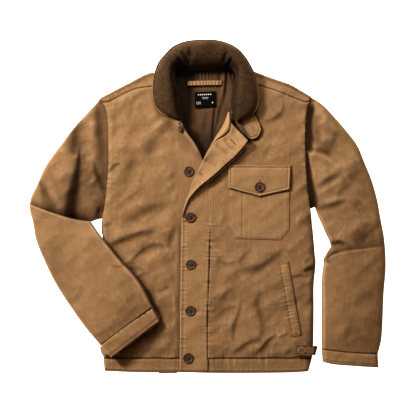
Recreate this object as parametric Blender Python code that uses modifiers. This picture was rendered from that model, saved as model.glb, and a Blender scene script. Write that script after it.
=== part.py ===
"""A deck jacket laid flat on its back, front open at the neck, one sleeve bent over the hem.

Tables are in millimetres, seen from straight above: x to the viewer's right, y towards the collar,
z up from the surface it lies on. Left and right in the names are the wearer's.
"""

import math

import bmesh
import bpy
from mathutils import Matrix, Vector

MM = 0.001

# Driving sizes, in millimetres.
WALL = 4.0  # canvas, light padding and lining sewn as one
SLEEVE_WALL = 3.4
PATCH_WALL = 2.2  # pocket, welt
PLACKET_WALL = 3.4
COLLAR_WALL = 3.0
UNDER_COLLAR_WALL = 1.5
UNDER_GAP = 0.55  # air between the two layers of the collar
REST = 0.6  # air under a piece that lies on a panel
RIM = 4.6  # height of the side seam, just over the back panel
BODY_TOP = 16.0
LEFT_TOP = 17.4
PLACKET_TOP = 20.2
SIDE_ROUND = 13.0
SLEEVE_TOP = 23.0
CUFF_TOP = 17.5
SLEEVE_ROUND = 24.0
OVER_BODY = 21.0  # underside of the forearm where it lies on the front
BUTTON_RADIUS = 11.75
BUTTON_HOLE_RADIUS = 1.15
BUTTON_HOLE_OUT = 2.3
CENTRE = (0.5, -1.0)  # middle of the outline, moved to the origin

# Outlines: x, y.
SIDE_RIGHT = [(-239, -350), (-244, -320), (-243, -200), (-241, -69), (-241, -28)]
ARMHOLE_RIGHT = [
    (-241, -28), (-237.5, -10), (-234, 12), (-231, 43.5), (-227, 95), (-227, 146), (-228.5, 191), (-233, 222), (-239.5, 238), (-247.3, 247.7),
]
SIDE_LEFT = [
    (242, -350), (243.5, -340), (245, -317), (246, -238), (246, -181), (250.7, -131), (248.9, -115), (243.8, -54), (237.6, -6.4),
]
ARMHOLE_LEFT = [
    (237.6, -6.4), (233.5, 24), (231.6, 48), (228.4, 100), (227.5, 139), (227.5, 172), (228, 205), (231, 226), (235.4, 240), (240, 251.6),
]
SHOULDER_EDGE = [
    (-247.3, 247.7), (-213, 266), (-177, 284.7), (-135, 306), (-118.5, 308), (-97, 321), (-72, 337), (-13, 338),
    (58, 337), (84, 321), (105.6, 311), (145, 296), (191, 280), (215, 266.5), (240, 251.6),
]
SHOULDER_SEAM = [
    (-240.3, 239.2), (-225, 240.8), (-194, 257), (-163, 270), (-128, 275.3), (-97, 281), (-81, 308), (-72, 325), (-13, 325),
    (54, 323), (70, 307), (90, 284), (111.6, 280), (145.4, 269.8), (168, 262), (198.7, 249.6), (227.5, 240), (235.8, 241.2),
]
HEM_SEAM_BACK = [(-239, -350), (-120, -351), (1, -351), (120, -350), (242, -350)]
HEM_EDGE = [(-236, -380), (-179, -382.5), (-129, -383.6), (-63, -383), (5, -384.6), (120, -384.8), (200, -383.5), (233, -381)]

FRONT_EDGE_RIGHT = [
    (-8, -350), (-8, 60), (-9, 100), (-13, 115), (-21, 131), (-31, 148), (-47, 169), (-60, 197), (-63, 210),
    (-65, 232), (-67, 258), (-73, 272), (-97, 280.4),
]
SHOULDER_SEAM_RIGHT = [(-239.5, 238), (-225, 239.6), (-194, 256.3), (-163, 269.3), (-128, 274.6), (-97, 280.4)]
PLACKET_SEAM = [(1.6, -350), (1.6, -253), (6, -135), (8.3, -17), (6, 50), (5.5, 128)]
FRONT_EDGE_LEFT = [
    (2.2, -350), (2.2, -253), (6.6, -135), (8.9, -17), (6.6, 50), (6.5, 130), (13.5, 141), (25.5, 161), (41, 186),
    (54, 205), (57, 232), (59, 258), (67, 276), (90, 283.4),
]
SHOULDER_SEAM_LEFT = [(90, 283.4), (111.6, 279.3), (145.4, 269.1), (168, 261.3), (198.7, 248.9), (227.5, 238.9), (235.4, 240)]
PLACKET_EDGE = [
    (-63, -377), (-61, -186), (-59, -68), (-57.5, -10), (-54.5, -4), (-48.2, 14), (-42, 27), (-33, 54), (-21, 79), (-6.6, 110), (0.5, 123),
]
PLACKET_SEAM_SIDE = [(1.2, -381), (1.2, -253), (5.6, -135), (7.9, -17), (5.6, 50), (5.0, 126)]

# The top of the placket folded back over the wearer's left front: x, y.
TURN_FOLD = [
    (-57.5, -22), (-55, -10), (-49, 11.5), (-43, 25.5), (-34, 53), (-22, 78), (-7.6, 109), (5.8, 134), (11, 139.5),
    (23, 151), (40, 159.6), (51.8, 171), (55.5, 189.5),
]
TURN_EDGE = [
    (-56.8, -25), (-44, 14), (-31, 31), (-16, 46), (4, 62), (22, 76.6), (36, 89.7), (52.7, 103.7), (64.4, 114.8), (79, 131), (93.6, 150),
]
FACING_FOLD = [(7, 137.5), (22, 163), (37, 187), (44.5, 206), (48.5, 216.5)]
FACING_EDGE = [(8.8, 138.4), (22.3, 152.6), (38.9, 161.2), (50.2, 172.2), (53.4, 190), (50.8, 214)]

# Sleeves, from the armhole to the cuff seam: x, y. The rows of both sides of one table belong together.
LEFT_SLEEVE_OUT = [
    (240.8, 251.6), (266.6, 235), (299, 200), (325, 168), (346.6, 138.7), (363, 99.6), (379.5, 58.7), (391.7, 15.4),
    (400, -30), (408.5, -78), (411.7, -138), (407, -201.5), (402, -304), (393.5, -340.5),
]
LEFT_SLEEVE_IN = [
    (238.2, -6), (245, -4), (250.7, -2.3), (255, -15), (259, -27), (271, -57.5), (286, -98), (270.5, -117), (268, -136),
    (264.5, -164.5), (263.6, -222), (263.6, -328),
]
RIGHT_SLEEVE_OUT = [(-248.6, 247.7), (-297, 193), (-331, 148), (-368.5, 97), (-389, 54), (-408.5, 6)]
RIGHT_SLEEVE_IN = [(-242, -28.6), (-250, -30), (-268, -36)]
RIGHT_FOREARM_OUT = [(-408.5, 6), (-400, -42), (-394, -76), (-379, -114.5), (-350, -175), (-316, -228), (-280, -277), (-244, -318.5)]
RIGHT_FOREARM_IN = [(-268, -36), (-244, -68.5), (-224, -93), (-198, -125), (-173, -151), (-149.5, -182), (-125.4, -230.4)]
ELBOW_CREASE = [(-412, 7), (-366, -8), (-321, -22.5), (-285, -32), (-262, -38)]

# Folds pressed into a panel: from x, y to x, y, half width, depth. A negative depth is a ridge.
FOLDS_RIGHT_FRONT = [
    (-225, 76, -193, 99, 8, 4.0),
    (-193, 241, -202, 147, 15, 2.6),
    (-224, -74, -108, -51, 11, 3.4),
    (-156, -117, -108, -87, 10, 3.0),
    (-182, -32, -108, 2, 13, 2.6),
    (-150, 190, -112, 120, 18, 2.0),
    (-170, 30, -100, 55, 16, -1.8),
    (-140, -300, -95, -340, 10, 2.4),
    (-78, -330, -92, -250, 10, 1.6),
]
FOLDS_LEFT_FRONT = [
    (100, -146, 161, -117, 11, 3.0),
    (104, -345, 154, -294, 10, 3.4),
    (175, -350, 196, -322, 8, 2.6),
    (220, -146, 250, -140, 9, 2.6),
    (196, -161, 237, -163, 9, 2.0),
    (30, -180, 60, -265, 15, 2.2),
    (40, -100, 22, 0, 12, 1.8),
    (205, 150, 196, 60, 14, 2.0),
    (150, 225, 120, 150, 18, 2.4),
    (60, -300, 92, -340, 9, 2.2),
]
FOLDS_LEFT_SLEEVE = [
    (244, 222, 243, 150, 13, 8.0),
    (243, 120, 246, 30, 8, 6.0),
    (236, 136, 292, 92, 10, 4.0),
    (254, 53, 306, 77, 10, 4.2),
    (299, 27, 338, 53, 11, 2.8),
    (250, -1, 306, 14, 10, 4.8),
    (276, -112, 330, -100, 10, 6.0),
    (282, -88, 400, -95, 12, 3.4),
    (270, -62, 330, -35, 12, -2.4),
    (330, 100, 372, 60, 18, 2.0),
    (280, -190, 350, -165, 16, 2.2),
    (330, -230, 400, -215, 16, 1.8),
    (300, -320, 292, -262, 12, 2.2),
    (368, -325, 352, -270, 12, 2.4),
]
FOLDS_RIGHT_SLEEVE = [
    (-292, 130, -306, 40, 10, 5.5),
    (-306, 40, -316, -20, 11, 5.5),
    (-380, 46, -361, 7, 11, 3.4),
    (-262, 215, -252, 130, 12, 3.4),
    (-340, 90, -352, 20, 13, 2.2),
    (-262, 80, -250, 0, 10, 3.0),
    (-275, 170, -320, 120, 14, -2.0),
    (-400, -28, -345, -50, 13, 3.0),
    (-312, -50, -258, -78, 11, 3.4),
    (-330, -95, -262, -112, 13, 2.8),
    (-345, -150, -290, -150, 14, 2.4),
    (-260, -160, -215, -190, 14, 2.2),
    (-270, -240, -238, -268, 12, 2.6),
    (-160, -205, -176, -240, 11, 2.4),
    (-205, -250, -220, -280, 11, 2.2),
]

# The collar round the neck, from its right front end to its left one: base x, y, z, crest x, y, z, edge x, y, z.
COLLAR = [
    (-58, 199.5, 22.4, -70, 199.5, 32, -88, 206.5, 24.5),
    (-60, 206, 21.0, -76, 207, 37, -103, 214, 24.5),
    (-62, 217, 19.5, -82, 219, 41, -113.5, 226, 24.5),
    (-63.5, 232, 17.6, -85, 236, 44, -119.5, 240, 24.5),
    (-65, 250, 17.2, -87, 252, 46, -121.5, 255, 25),
    (-67, 268, 17.2, -88, 272, 47, -121.5, 272, 26),
    (-73, 289, 17.2, -90, 298, 49, -118.5, 300, 28),
    (-73.5, 305, 15.5, -88, 324, 52, -108.5, 327, 33),
    (-70, 311, 11.6, -81, 341, 54, -96, 347, 38),
    (-58, 313.5, 9.0, -66, 355, 56, -78, 366.5, 42),
    (-38, 313.5, 8.6, -42, 364, 57, -48, 378.5, 45),
    (-13, 313.5, 8.6, -13, 366, 57, -13, 381.5, 46),
    (16, 313.5, 8.6, 20, 364, 57, 24, 380.7, 45),
    (42, 313.5, 9.0, 50, 355, 56, 60, 371, 42),
    (57, 312, 11.0, 69, 340, 54, 83, 354, 38),
    (64, 303, 15.5, 79, 319, 52, 101, 322, 33),
    (62, 288, 18.6, 81, 294, 50, 109.5, 294, 30),
    (58, 268, 19.4, 79, 270, 48, 114.5, 268, 29),
    (56, 250, 19.4, 78, 250, 47, 116.4, 250, 29),
    (56, 232, 19.6, 77, 232, 46, 114, 232, 29),
    (57, 217, 20.5, 76, 215, 44, 107, 217, 29.5),
    (58, 205, 23.5, 74, 204, 41, 94, 207, 30),
    (59.5, 196, 25.5, 69, 194.5, 37, 81, 200, 30),
]

# Buttons on the front: x, y, height of the underside, tilt about y in degrees, turn in degrees.
BUTTONS = [
    ("button_1", -61.2, 181, 28.6, -58, 10),
    ("button_2", -41.9, 79.6, 16.9, 0, 20),
    ("button_3", -38, -26, 20.9, 0, 5),
    ("button_4", -37.3, -134.3, 20.9, 0, 40),
    ("button_5", -38.2, -240.4, 20.9, 0, 12),
    ("button_6", -43.2, -348.7, 20.9, 0, 30),
    ("button_pocket", 120.5, 43.9, 25.4, 0, 15),
]
BUTTON_PROFILE = [(0, 0), (10.4, 0), (11.75, 1.5), (11.2, 3.1), (10.0, 3.6), (8.4, 3.0), (7.6, 2.3), (0, 2.2)]

COLOURS = {
    "canvas": ((0.33, 0.20, 0.10), 0.9),
    "canvas_trim": ((0.36, 0.22, 0.12), 0.9),
    "wool": ((0.055, 0.036, 0.020), 0.95),
    "lining": ((0.19, 0.11, 0.055), 0.85),
    "label_weave": ((0.012, 0.011, 0.010), 0.8),
    "button_horn": ((0.075, 0.042, 0.028), 0.45),
}


class Edge:
    """One side of a panel, as a row of points, walked by share of its length."""

    def __init__(self, rows):
        self.points = [Vector(row) for row in rows]
        self.lengths = [0.0]
        for first, second in zip(self.points, self.points[1:]):
            self.lengths.append(self.lengths[-1] + (second - first).length)

    def at(self, share):
        wanted = share * self.lengths[-1]
        for i in range(len(self.points) - 1):
            if wanted <= self.lengths[i + 1] or i == len(self.points) - 2:
                span = self.lengths[i + 1] - self.lengths[i]
                part = (wanted - self.lengths[i]) / span
                return self.points[i].lerp(self.points[i + 1], part)
        return self.points[-1].copy()

    def distance(self, x, y):
        best = 1e9
        here = Vector((x, y))
        for first, second in zip(self.points, self.points[1:]):
            along = second - first
            share = (here - first).dot(along) / along.length_squared
            share = min(max(share, 0.0), 1.0)
            best = min(best, (here - first - along * share).length)
        return best


def smooth(value):
    value = min(max(value, 0.0), 1.0)
    return value * value * (3 - 2 * value)


def quarter(distance, radius):
    """Height share of a rounded edge: 0 at the edge, 1 once a radius away from it."""
    share = min(max(distance / radius, 0.0), 1.0)
    return math.sqrt(1 - (1 - share) ** 2)


def folds(table, x, y):
    """Sum of the pressed folds at a point: each fades out at both of its ends."""
    total = 0.0
    for x0, y0, x1, y1, width, depth in table:
        along = Vector((x1 - x0, y1 - y0))
        here = Vector((x - x0, y - y0))
        share = here.dot(along) / along.length_squared
        if share < -0.25 or share > 1.25:
            continue
        off = abs(here.cross(along)) / along.length
        ends = smooth((share + 0.25) / 0.45) * smooth((1.25 - share) / 0.45)
        total += depth * ends * math.exp(-((off / width) ** 2))
    return total


def coons(sides, u, v):
    """Point of a panel from its left, right, bottom and top sides."""
    left, right, bottom, top = sides
    corners = bottom.at(0) * ((1 - u) * (1 - v)) + bottom.at(1) * (u * (1 - v))
    corners += top.at(0) * ((1 - u) * v) + top.at(1) * (u * v)
    ruled = left.at(v) * (1 - u) + right.at(v) * u + bottom.at(u) * (1 - v) + top.at(u) * v
    return ruled - corners


def steps(count, start=(), end=()):
    """Shares from 0 to 1: even ones between close ones listed at the start and the end."""
    low = start[-1] if start else 0.0
    high = 1 - end[-1] if end else 1.0
    inner = [low + (high - low) * i / count for i in range(count + 1)]
    shares = ([0.0] if start else []) + list(start[:-1]) + inner
    return shares + [1 - share for share in reversed(end[:-1])] + ([1.0] if end else [])


side_right = Edge(SIDE_RIGHT)
side_left = Edge(SIDE_LEFT)
armhole_right = Edge(ARMHOLE_RIGHT)
armhole_left = Edge(ARMHOLE_LEFT)
front_edge_right = Edge(FRONT_EDGE_RIGHT)
hem_edge = Edge(HEM_EDGE)
v_edge = Edge(FRONT_EDGE_RIGHT[2:9])
elbow_crease = Edge(ELBOW_CREASE)


def edge_drop(x, y, side, armpit, top, low=RIM):
    """Height near the side seam: the panel turns down to the back below the armpit."""
    drop = smooth((armpit - y) / 45)
    return top - (top - low) * drop * (1 - quarter(side.distance(x, y), SIDE_ROUND))


def right_top(x, y):
    """Outer surface of the wearer's right front."""
    clear = smooth((-66 - x) / 26) * smooth((y + 356) / 40)
    height = BODY_TOP + 1.6 * clear - clear * folds(FOLDS_RIGHT_FRONT, x, y)
    height -= 1.8 * math.exp(-armhole_right.distance(x, y) / 7)
    height -= 3.0 * smooth((-322 - y) / 30)
    if y > 60:
        stand = 3.0 + 15.0 * smooth((y - 95) / 85)
        near = v_edge.distance(x, y)
        fade = smooth((y - 104) / 26) * smooth((204 - y) / 24)
        height += fade * (stand * math.exp(-((near / 12) ** 2)) - 3.0 * math.exp(-(((near - 26) / 10) ** 2)))
    return edge_drop(x, y, side_right, -28, height)


def left_top(x, y):
    """Outer surface of the wearer's left front."""
    clear = smooth((x - 14) / 30) * smooth((y + 356) / 40)
    pocket = smooth((abs(x - 119) - 70) / 22) if -84 < y < 100 else 1.0
    height = LEFT_TOP + 1.2 * clear - clear * pocket * folds(FOLDS_LEFT_FRONT, x, y)
    height += (PLACKET_TOP - 1.2 - LEFT_TOP) * (1 - smooth((x - 4) / 34)) * (1 - smooth((y - 40) / 40))
    height -= 1.8 * math.exp(-armhole_left.distance(x, y) / 7)
    height -= 3.2 * smooth((-322 - y) / 30) * smooth((x - 2) / 40)
    return edge_drop(x, y, side_left, -6, height)


def placket_top(x, y):
    height = PLACKET_TOP - 0.8 * math.exp(-abs(x - 5) / 5) - 3.0 * smooth((-372 - y) / 14)
    return height


def shoulder_top(x, y):
    """Outer surface of the back where it wraps forward to the shoulder seam."""
    neck = smooth((abs(x + 6) - 72) / 26)
    side = right_top(x, y) if x < 0 else left_top(x, y)
    return 10.0 + (side - 10.0) * neck


def under_forearm(x, y):
    """Height of the underside of the bent sleeve: on the table, then up over the front."""
    outside = side_right.points[0].x
    for low, high in zip(side_right.points, side_right.points[1:]):
        if low.y <= y <= high.y:
            outside = low.x + (high.x - low.x) * (y - low.y) / (high.y - low.y)
    reach = smooth((-30 - y) / 32)
    return OVER_BODY * reach * (1 - smooth((outside - x + 3) / 50))


def left_sleeve_top(x, y, near):
    """Outer surface of the straight sleeve: low at the armhole, full below it."""
    rise = smooth(armhole_left.distance(x, y) / 46)
    crown = 12.5 + (SLEEVE_TOP - 12.5) * rise
    crown -= 3.0 * smooth((-290 - y) / 45)
    crown -= folds(FOLDS_LEFT_SLEEVE, x, y)
    return max(crown, 8.6) * 1.0, near


def right_sleeve_top(x, y, near):
    rise = smooth(armhole_right.distance(x, y) / 40) if y > -30 else 1.0
    crown = 13.0 + (SLEEVE_TOP - 13.0) * rise
    off = elbow_crease.distance(x, y)
    crown -= 9.5 * math.exp(-((off / 10) ** 2))
    crown -= folds(FOLDS_RIGHT_SLEEVE, x, y)
    return max(crown, 9.0), near


collection = None


def clear_scene():
    for obj in list(bpy.data.objects):
        bpy.data.objects.remove(obj)


def make_material(name):
    colour, roughness = COLOURS[name]
    found = bpy.data.materials.get(name)
    if found:
        return found
    made = bpy.data.materials.new(name)
    made.use_nodes = True
    shader = made.node_tree.nodes["Principled BSDF"]
    shader.inputs["Base Color"].default_value = (*colour, 1)
    shader.inputs["Roughness"].default_value = roughness
    shader.inputs["Metallic"].default_value = 0
    return made


def place(point):
    return Vector(((point[0] - CENTRE[0]) * MM, (point[1] - CENTRE[1]) * MM, point[2] * MM))


def faces_in(shape, facing):
    """Whether the faces of an open surface look the wrong way: it should face up, down or out."""
    middle = sum(vert.co.z for vert in shape.verts) / len(shape.verts)
    total = 0.0
    for face in shape.faces:
        face.normal_update()
        centre = face.calc_center_median()
        weight = {"up": 1.0, "down": -1.0, "out": centre.z - middle}[facing]
        total += face.normal.z * face.calc_area() * weight
    return total < 0


def sheet(name, material, us, vs, point_at, wall, facing="up"):
    """A grid of points walled with Solidify. point_at(u, v) gives the outer surface in mm."""
    shape = bmesh.new()
    bmesh.ops.create_grid(shape, x_segments=len(us) - 1, y_segments=len(vs) - 1, size=1)
    for vert in shape.verts:
        column = round((vert.co.x + 1) / 2 * (len(us) - 1))
        row = round((vert.co.y + 1) / 2 * (len(vs) - 1))
        vert.co = place(point_at(us[column], vs[row]))
    if facing == "out":
        bmesh.ops.remove_doubles(shape, verts=shape.verts, dist=0.00001)
    if faces_in(shape, facing):
        bmesh.ops.reverse_faces(shape, faces=shape.faces)
    mesh = bpy.data.meshes.new(name)
    shape.to_mesh(mesh)
    shape.free()
    mesh.materials.append(make_material(material))
    mesh.shade_smooth()
    obj = bpy.data.objects.new(name, mesh)
    collection.objects.link(obj)
    solidify = obj.modifiers.new("wall", "SOLIDIFY")
    solidify.thickness = wall * MM
    solidify.offset = -1
    return obj


def panel(name, material, sides, us, vs, height, wall):
    edges = [Edge(rows) for rows in sides]

    def point_at(u, v):
        flat = coons(edges, u, v)
        return (flat.x, flat.y, height(flat.x, flat.y))

    return sheet(name, material, us, vs, point_at, wall)


def build_body():
    back_sides = [Edge(SIDE_RIGHT + ARMHOLE_RIGHT[1:])]
    back_sides.append(Edge(SIDE_LEFT + ARMHOLE_LEFT[1:]))
    back_sides += [Edge(HEM_SEAM_BACK), Edge(SHOULDER_EDGE)]
    seam = Edge(SHOULDER_SEAM)
    levels = [0, 0.13, 0.27, 0.41, 0.54, 0.63, 0.72, 0.81, 0.89, 0.945]
    flat_rows = len(levels)
    wrap = [(0.93, 0.3), (0.62, 1.7), (0.2, 4.6), (0.0, 8.0), (0.2, 11.6), (0.62, 14.6), (1.0, 16.0)]
    ends = 2
    rows = flat_rows + len(wrap) + ends

    def back_at(u, v):
        row = round(v * rows)
        if row < flat_rows:
            flat = coons(back_sides, u, levels[row])
            return (flat.x, flat.y, 0.0)
        outline = back_sides[3].at(u)
        forward = seam.at(u)
        span = (forward - outline).length
        turn = min(9.0, span * 0.6)
        towards = (forward - outline) / span
        full = shoulder_top(forward.x, forward.y)
        if row == flat_rows:
            flat = outline + towards * turn * 1.4
            return (flat.x, flat.y, 0.0)
        if row <= flat_rows + len(wrap):
            back, height = wrap[row - flat_rows - 1]
            flat = outline + towards * turn * back
            return (flat.x, flat.y, height * full / 16.0)
        part = (row - flat_rows - len(wrap)) / ends
        flat = (outline + towards * turn).lerp(forward, part)
        return (flat.x, flat.y, shoulder_top(flat.x, flat.y) if part > 0.4 else full)

    us = steps(20)
    sheet("back", "canvas", us, [i / rows for i in range(rows + 1)], back_at, WALL, "down")

    close = (0.0005, 0.006, 0.024, 0.052)
    panel(
        "front_right", "canvas",
        [SIDE_RIGHT + ARMHOLE_RIGHT[1:-1], FRONT_EDGE_RIGHT,
         [(-239, -349.6), (-120, -350.4), (-8, -350)], SHOULDER_SEAM_RIGHT],
        steps(12, start=close), steps(31), right_top, WALL,
    )
    panel(
        "front_left", "canvas",
        [FRONT_EDGE_LEFT, SIDE_LEFT + ARMHOLE_LEFT[1:-1],
         [(2.2, -350), (120, -349.6), (242, -349.6)], SHOULDER_SEAM_LEFT],
        steps(12, end=close), steps(31), left_top, WALL,
    )
    build_hems()


def build_hems():
    def hem_height(top):
        def height(x, y):
            return RIM + (top(x, y) - RIM) * quarter(hem_edge.distance(x, y), 9)
        return height

    close = (0.003, 0.06, 0.25)
    side = (0.0005, 0.006, 0.024, 0.052)
    panel(
        "hem_front_right", "canvas",
        [[(-236, -380), (-239, -350.9)], [(-8, -383.6), (-8, -350.9)],
         [(-236, -380), (-179, -382.5), (-129, -383.6), (-63, -383), (-8, -383.6)], [(-239, -350.9), (-8, -350.9)]],
        steps(9, start=side), steps(2, start=close), hem_height(hem_right_top), WALL,
    )
    panel(
        "hem_front_left", "canvas",
        [[(2.2, -384.5), (2.2, -350.9)], [(233, -381), (241.8, -350.6)],
         [(2.2, -384.5), (120, -384.8), (200, -383.5), (233, -381)], [(2.2, -350.9), (120, -350.6), (241.8, -350.6)]],
        steps(9, end=side), steps(2, start=close), hem_height(hem_left_top), WALL,
    )
    panel(
        "hem_back", "canvas",
        [[(-236, -380), (-239, -350.6)], [(233, -381), (241.8, -350.6)],
         HEM_EDGE, [(-239, -350.6), (-120, -351.6), (1, -351.6), (120, -350.6), (241.8, -350.6)]],
        steps(12), steps(1), lambda x, y: WALL, WALL,
    )


def hem_right_top(x, y):
    return max(right_top(x, max(y, -349.0)) - 1.0 * smooth((-350 - y) / 20), 9.2) if x > -232 else right_top(x, -349.0)


def hem_left_top(x, y):
    return right_side_safe(x, y)


def right_side_safe(x, y):
    return left_top(x, max(y, -349.0))


def build_front_opening():
    panel(
        "placket", "canvas_trim",
        [PLACKET_EDGE, PLACKET_SEAM_SIDE, [(-63, -377), (-40, -380.5), (1.2, -381)], [(0.5, 123), (5.0, 126)]],
        steps(4), steps(18), placket_top, PLACKET_WALL,
    )

    def turned(x, y):
        """Folded strip: low at the fold and at its lower tip, lifted along its free edge."""
        from_fold = turn_fold.distance(x, y)
        from_edge = turn_edge.distance(x, y)
        share = from_fold / max(from_fold + from_edge, 0.01)
        up = smooth((y + 26) / 90)
        height = 20.9 + PLACKET_WALL + up * (1.0 + 7.0 * share * share)
        height -= 2.2 * (1 - quarter(from_fold, 6)) * up
        return height + 0.9 * math.sin((x + y) / 7.5) * share * up * (1 - share)

    turn_fold = Edge(TURN_FOLD)
    turn_edge = Edge(TURN_EDGE)
    panel(
        "placket_turnback", "canvas_trim",
        [TURN_FOLD, TURN_EDGE, [(-57.5, -22), (-56.8, -25)], [(55.5, 189.5), (93.6, 150)]],
        steps(4, start=(0.04,)), steps(18), turned, 3.0,
    )

    facing_fold = Edge(FACING_FOLD)

    def facing(x, y):
        return 24.0 + 2.0 * smooth((y - 140) / 50) - 3.0 * (1 - quarter(facing_fold.distance(x, y), 6))

    panel(
        "facing_turnback", "canvas_trim",
        [FACING_FOLD, FACING_EDGE, [(7, 137.5), (8.8, 138.4)], [(48.5, 216.5), (50.8, 214)]],
        steps(3), steps(12), facing, 2.4,
    )


def build_sleeves():
    across = [0.001, 0.018, 0.07, 0.16, 0.27, 0.385, 0.5, 0.615, 0.73, 0.84, 0.93, 0.982, 0.999]
    outer = Edge(LEFT_SLEEVE_OUT)
    inner = Edge(LEFT_SLEEVE_IN)
    armhole = Edge([(x + 0.8, y) for x, y in reversed(ARMHOLE_LEFT)])
    cuff_seam = Edge([(393.5, -340.5), (330, -336), (263.6, -328)])
    build_sleeve("left_sleeve", outer, inner, armhole, cuff_seam, 29, across, left_sleeve_top, lambda x, y: 0.0)

    upper_out = Edge(RIGHT_SLEEVE_OUT)
    upper_in = Edge(RIGHT_SLEEVE_IN)
    fore_out = Edge(RIGHT_FOREARM_OUT)
    fore_in = Edge(RIGHT_FOREARM_IN)

    class Bent:
        """The two halves of one side, joined at the elbow."""

        def __init__(self, upper, fore):
            self.upper = upper
            self.fore = fore

        def at(self, share):
            if share <= 0.45:
                return self.upper.at(share / 0.45)
            return self.fore.at((share - 0.45) / 0.55)

    armhole = Edge([(x - 1.3, y) for x, y in reversed(ARMHOLE_RIGHT)])
    cuff_seam = Edge([(-244, -318.5), (-125.4, -230.4)])
    build_sleeve(
        "right_sleeve", Bent(upper_out, fore_out), Bent(upper_in, fore_in), armhole, cuff_seam, 30, across,
        right_sleeve_top, under_forearm,
    )


def build_sleeve(name, outer, inner, armhole, cuff_seam, count, across, top_at, low_at):
    """Rows run straight between the two sides, and bend to the armhole at the top."""
    round_under = 6.0
    top = [0.0] + across + [1.0]
    under = [0.985, 0.93, 0.8, 0.62, 0.3, 0.04] if name == "right_sleeve" else [0.985, 0.94, 0.5, 0.06, 0.015]
    ring = [(share, True) for share in top] + [(share, False) for share in under] + [(0.0, True)]

    def point_at(u, v):
        share, above = ring[round(u * (len(ring) - 1))]
        out_point = outer.at(v)
        in_point = inner.at(v)
        flat = out_point.lerp(in_point, share)
        start = armhole.at(share) - armhole.at(0).lerp(armhole.at(1), share)
        flat = flat + start * (1 - smooth(v / 0.22))
        end = cuff_seam.at(share) - cuff_seam.at(0).lerp(cuff_seam.at(1), share)
        flat = flat + end * smooth((v - 0.85) / 0.15)
        width = (out_point - in_point).length
        near = min(share, 1 - share) * width
        low = low_at(flat.x, flat.y)
        if above:
            crown = top_at(flat.x, flat.y, near)[0]
            height = low + round_under + (crown - round_under) * quarter(near, SLEEVE_ROUND)
        else:
            height = low + round_under * (1 - quarter(near, 8))
        return (flat.x, flat.y, height)

    us = [i / (len(ring) - 1) for i in range(len(ring))]
    vs = [i / count for i in range(count + 1)]
    sheet(name, "canvas", us, vs, point_at, SLEEVE_WALL, "out")


def build_cuff(name, seam, end, low_at):
    """A short flattened band past the sleeve's seam, open at its end. seam and end run outer to inner."""
    round_under = 6.0
    top = [0.0, 0.004, 0.03, 0.08, 0.17, 0.3, 0.43, 0.57, 0.7, 0.83, 0.92, 0.97, 0.996, 1.0]
    under = [0.985, 0.94, 0.7, 0.3, 0.06, 0.015]
    ring = [(share, True) for share in top] + [(share, False) for share in under] + [(0.0, True)]
    seam_edge = Edge(seam)
    end_edge = Edge(end)
    width = seam_edge.lengths[-1]

    def point_at(u, v):
        share, above = ring[round(u * (len(ring) - 1))]
        flat = seam_edge.at(share).lerp(end_edge.at(share), v)
        near = min(share, 1 - share) * width
        low = low_at(flat.x, flat.y)
        if above:
            crown = CUFF_TOP - 1.5 * smooth((v - 0.6) / 0.4) + 1.0 * math.sin(share * 11 + 1.3) * (1 - v)
            height = low + round_under + (crown - round_under) * quarter(near, 16)
        else:
            height = low + round_under * (1 - quarter(near, 8))
        return (flat.x, flat.y, height)

    us = [i / (len(ring) - 1) for i in range(len(ring))]
    sheet(name, "canvas", us, [0, 0.2, 0.5, 0.8, 1], point_at, SLEEVE_WALL, "out")


def build_cuffs():
    build_cuff(
        "left_cuff",
        [(393.3, -341.1), (330, -336.6), (263.6, -328.6)],
        [(395, -371.5), (330, -367), (290, -363.5), (266.5, -358.5)],
        lambda x, y: 0.0,
    )
    build_cuff(
        "right_cuff",
        [(-243.6, -318.9), (-125.0, -230.8)],
        [(-219.4, -347), (-165, -307), (-109, -262.5)],
        under_forearm,
    )


def collar_section(row, share):
    """Outer surface of the collar: up from the neck seam, over the crest, down to the edge."""
    base = Vector(row[0:3])
    crest = Vector(row[3:6])
    edge = Vector(row[6:9])
    if share < 0.5:
        angle = share * math.pi
        across = 1 - math.cos(angle)
        flat = base.lerp(crest, across)
        flat.z = base.z + (crest.z - base.z) * math.sin(angle)
        return flat
    angle = (share - 0.5) * math.pi
    flat = crest.lerp(edge, math.sin(angle))
    flat.z = crest.z - (crest.z - edge.z) * (1 - math.cos(angle))
    return flat


def collar_row(position):
    """A row between the rows of the table, by a smooth curve through them."""
    last = len(COLLAR) - 1
    index = min(int(position), last - 1)
    part = position - index
    before = Vector(COLLAR[max(index - 1, 0)])
    first = Vector(COLLAR[index])
    second = Vector(COLLAR[index + 1])
    after = Vector(COLLAR[min(index + 2, last)])
    curve = first * 2 + (second - before) * part
    curve += (before * 2 - first * 5 + second * 4 - after) * part ** 2
    curve += (first * 3 - before - second * 3 + after) * part ** 3
    return curve * 0.5


def build_collar():
    rows = [i / 34 for i in range(35)]
    shares = [0, 0.16, 0.3, 0.42, 0.5, 0.58, 0.7, 0.84, 1]

    def collar_at(u, v):
        point = collar_section(collar_row(v * (len(COLLAR) - 1)), u)
        waves = 1.2 * math.sin(v * 41) * math.sin(u * math.pi) * smooth(1 - abs(v - 0.5) / 0.3)
        return (point.x, point.y, point.z + waves)

    def normal_at(u, v):
        step = 0.004
        low_u, high_u = max(u - step, 0), min(u + step, 1)
        low_v, high_v = max(v - step, 0), min(v + step, 1)
        across = Vector(collar_at(high_u, v)) - Vector(collar_at(low_u, v))
        along = Vector(collar_at(u, high_v)) - Vector(collar_at(u, low_v))
        return along.cross(across).normalized()

    def under_at(u, v):
        return Vector(collar_at(u, v)) - normal_at(u, v) * (COLLAR_WALL + UNDER_GAP)

    sheet("collar", "wool", shares, rows, collar_at, COLLAR_WALL)
    sheet("under_collar", "canvas", shares, rows, under_at, UNDER_COLLAR_WALL)


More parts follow.
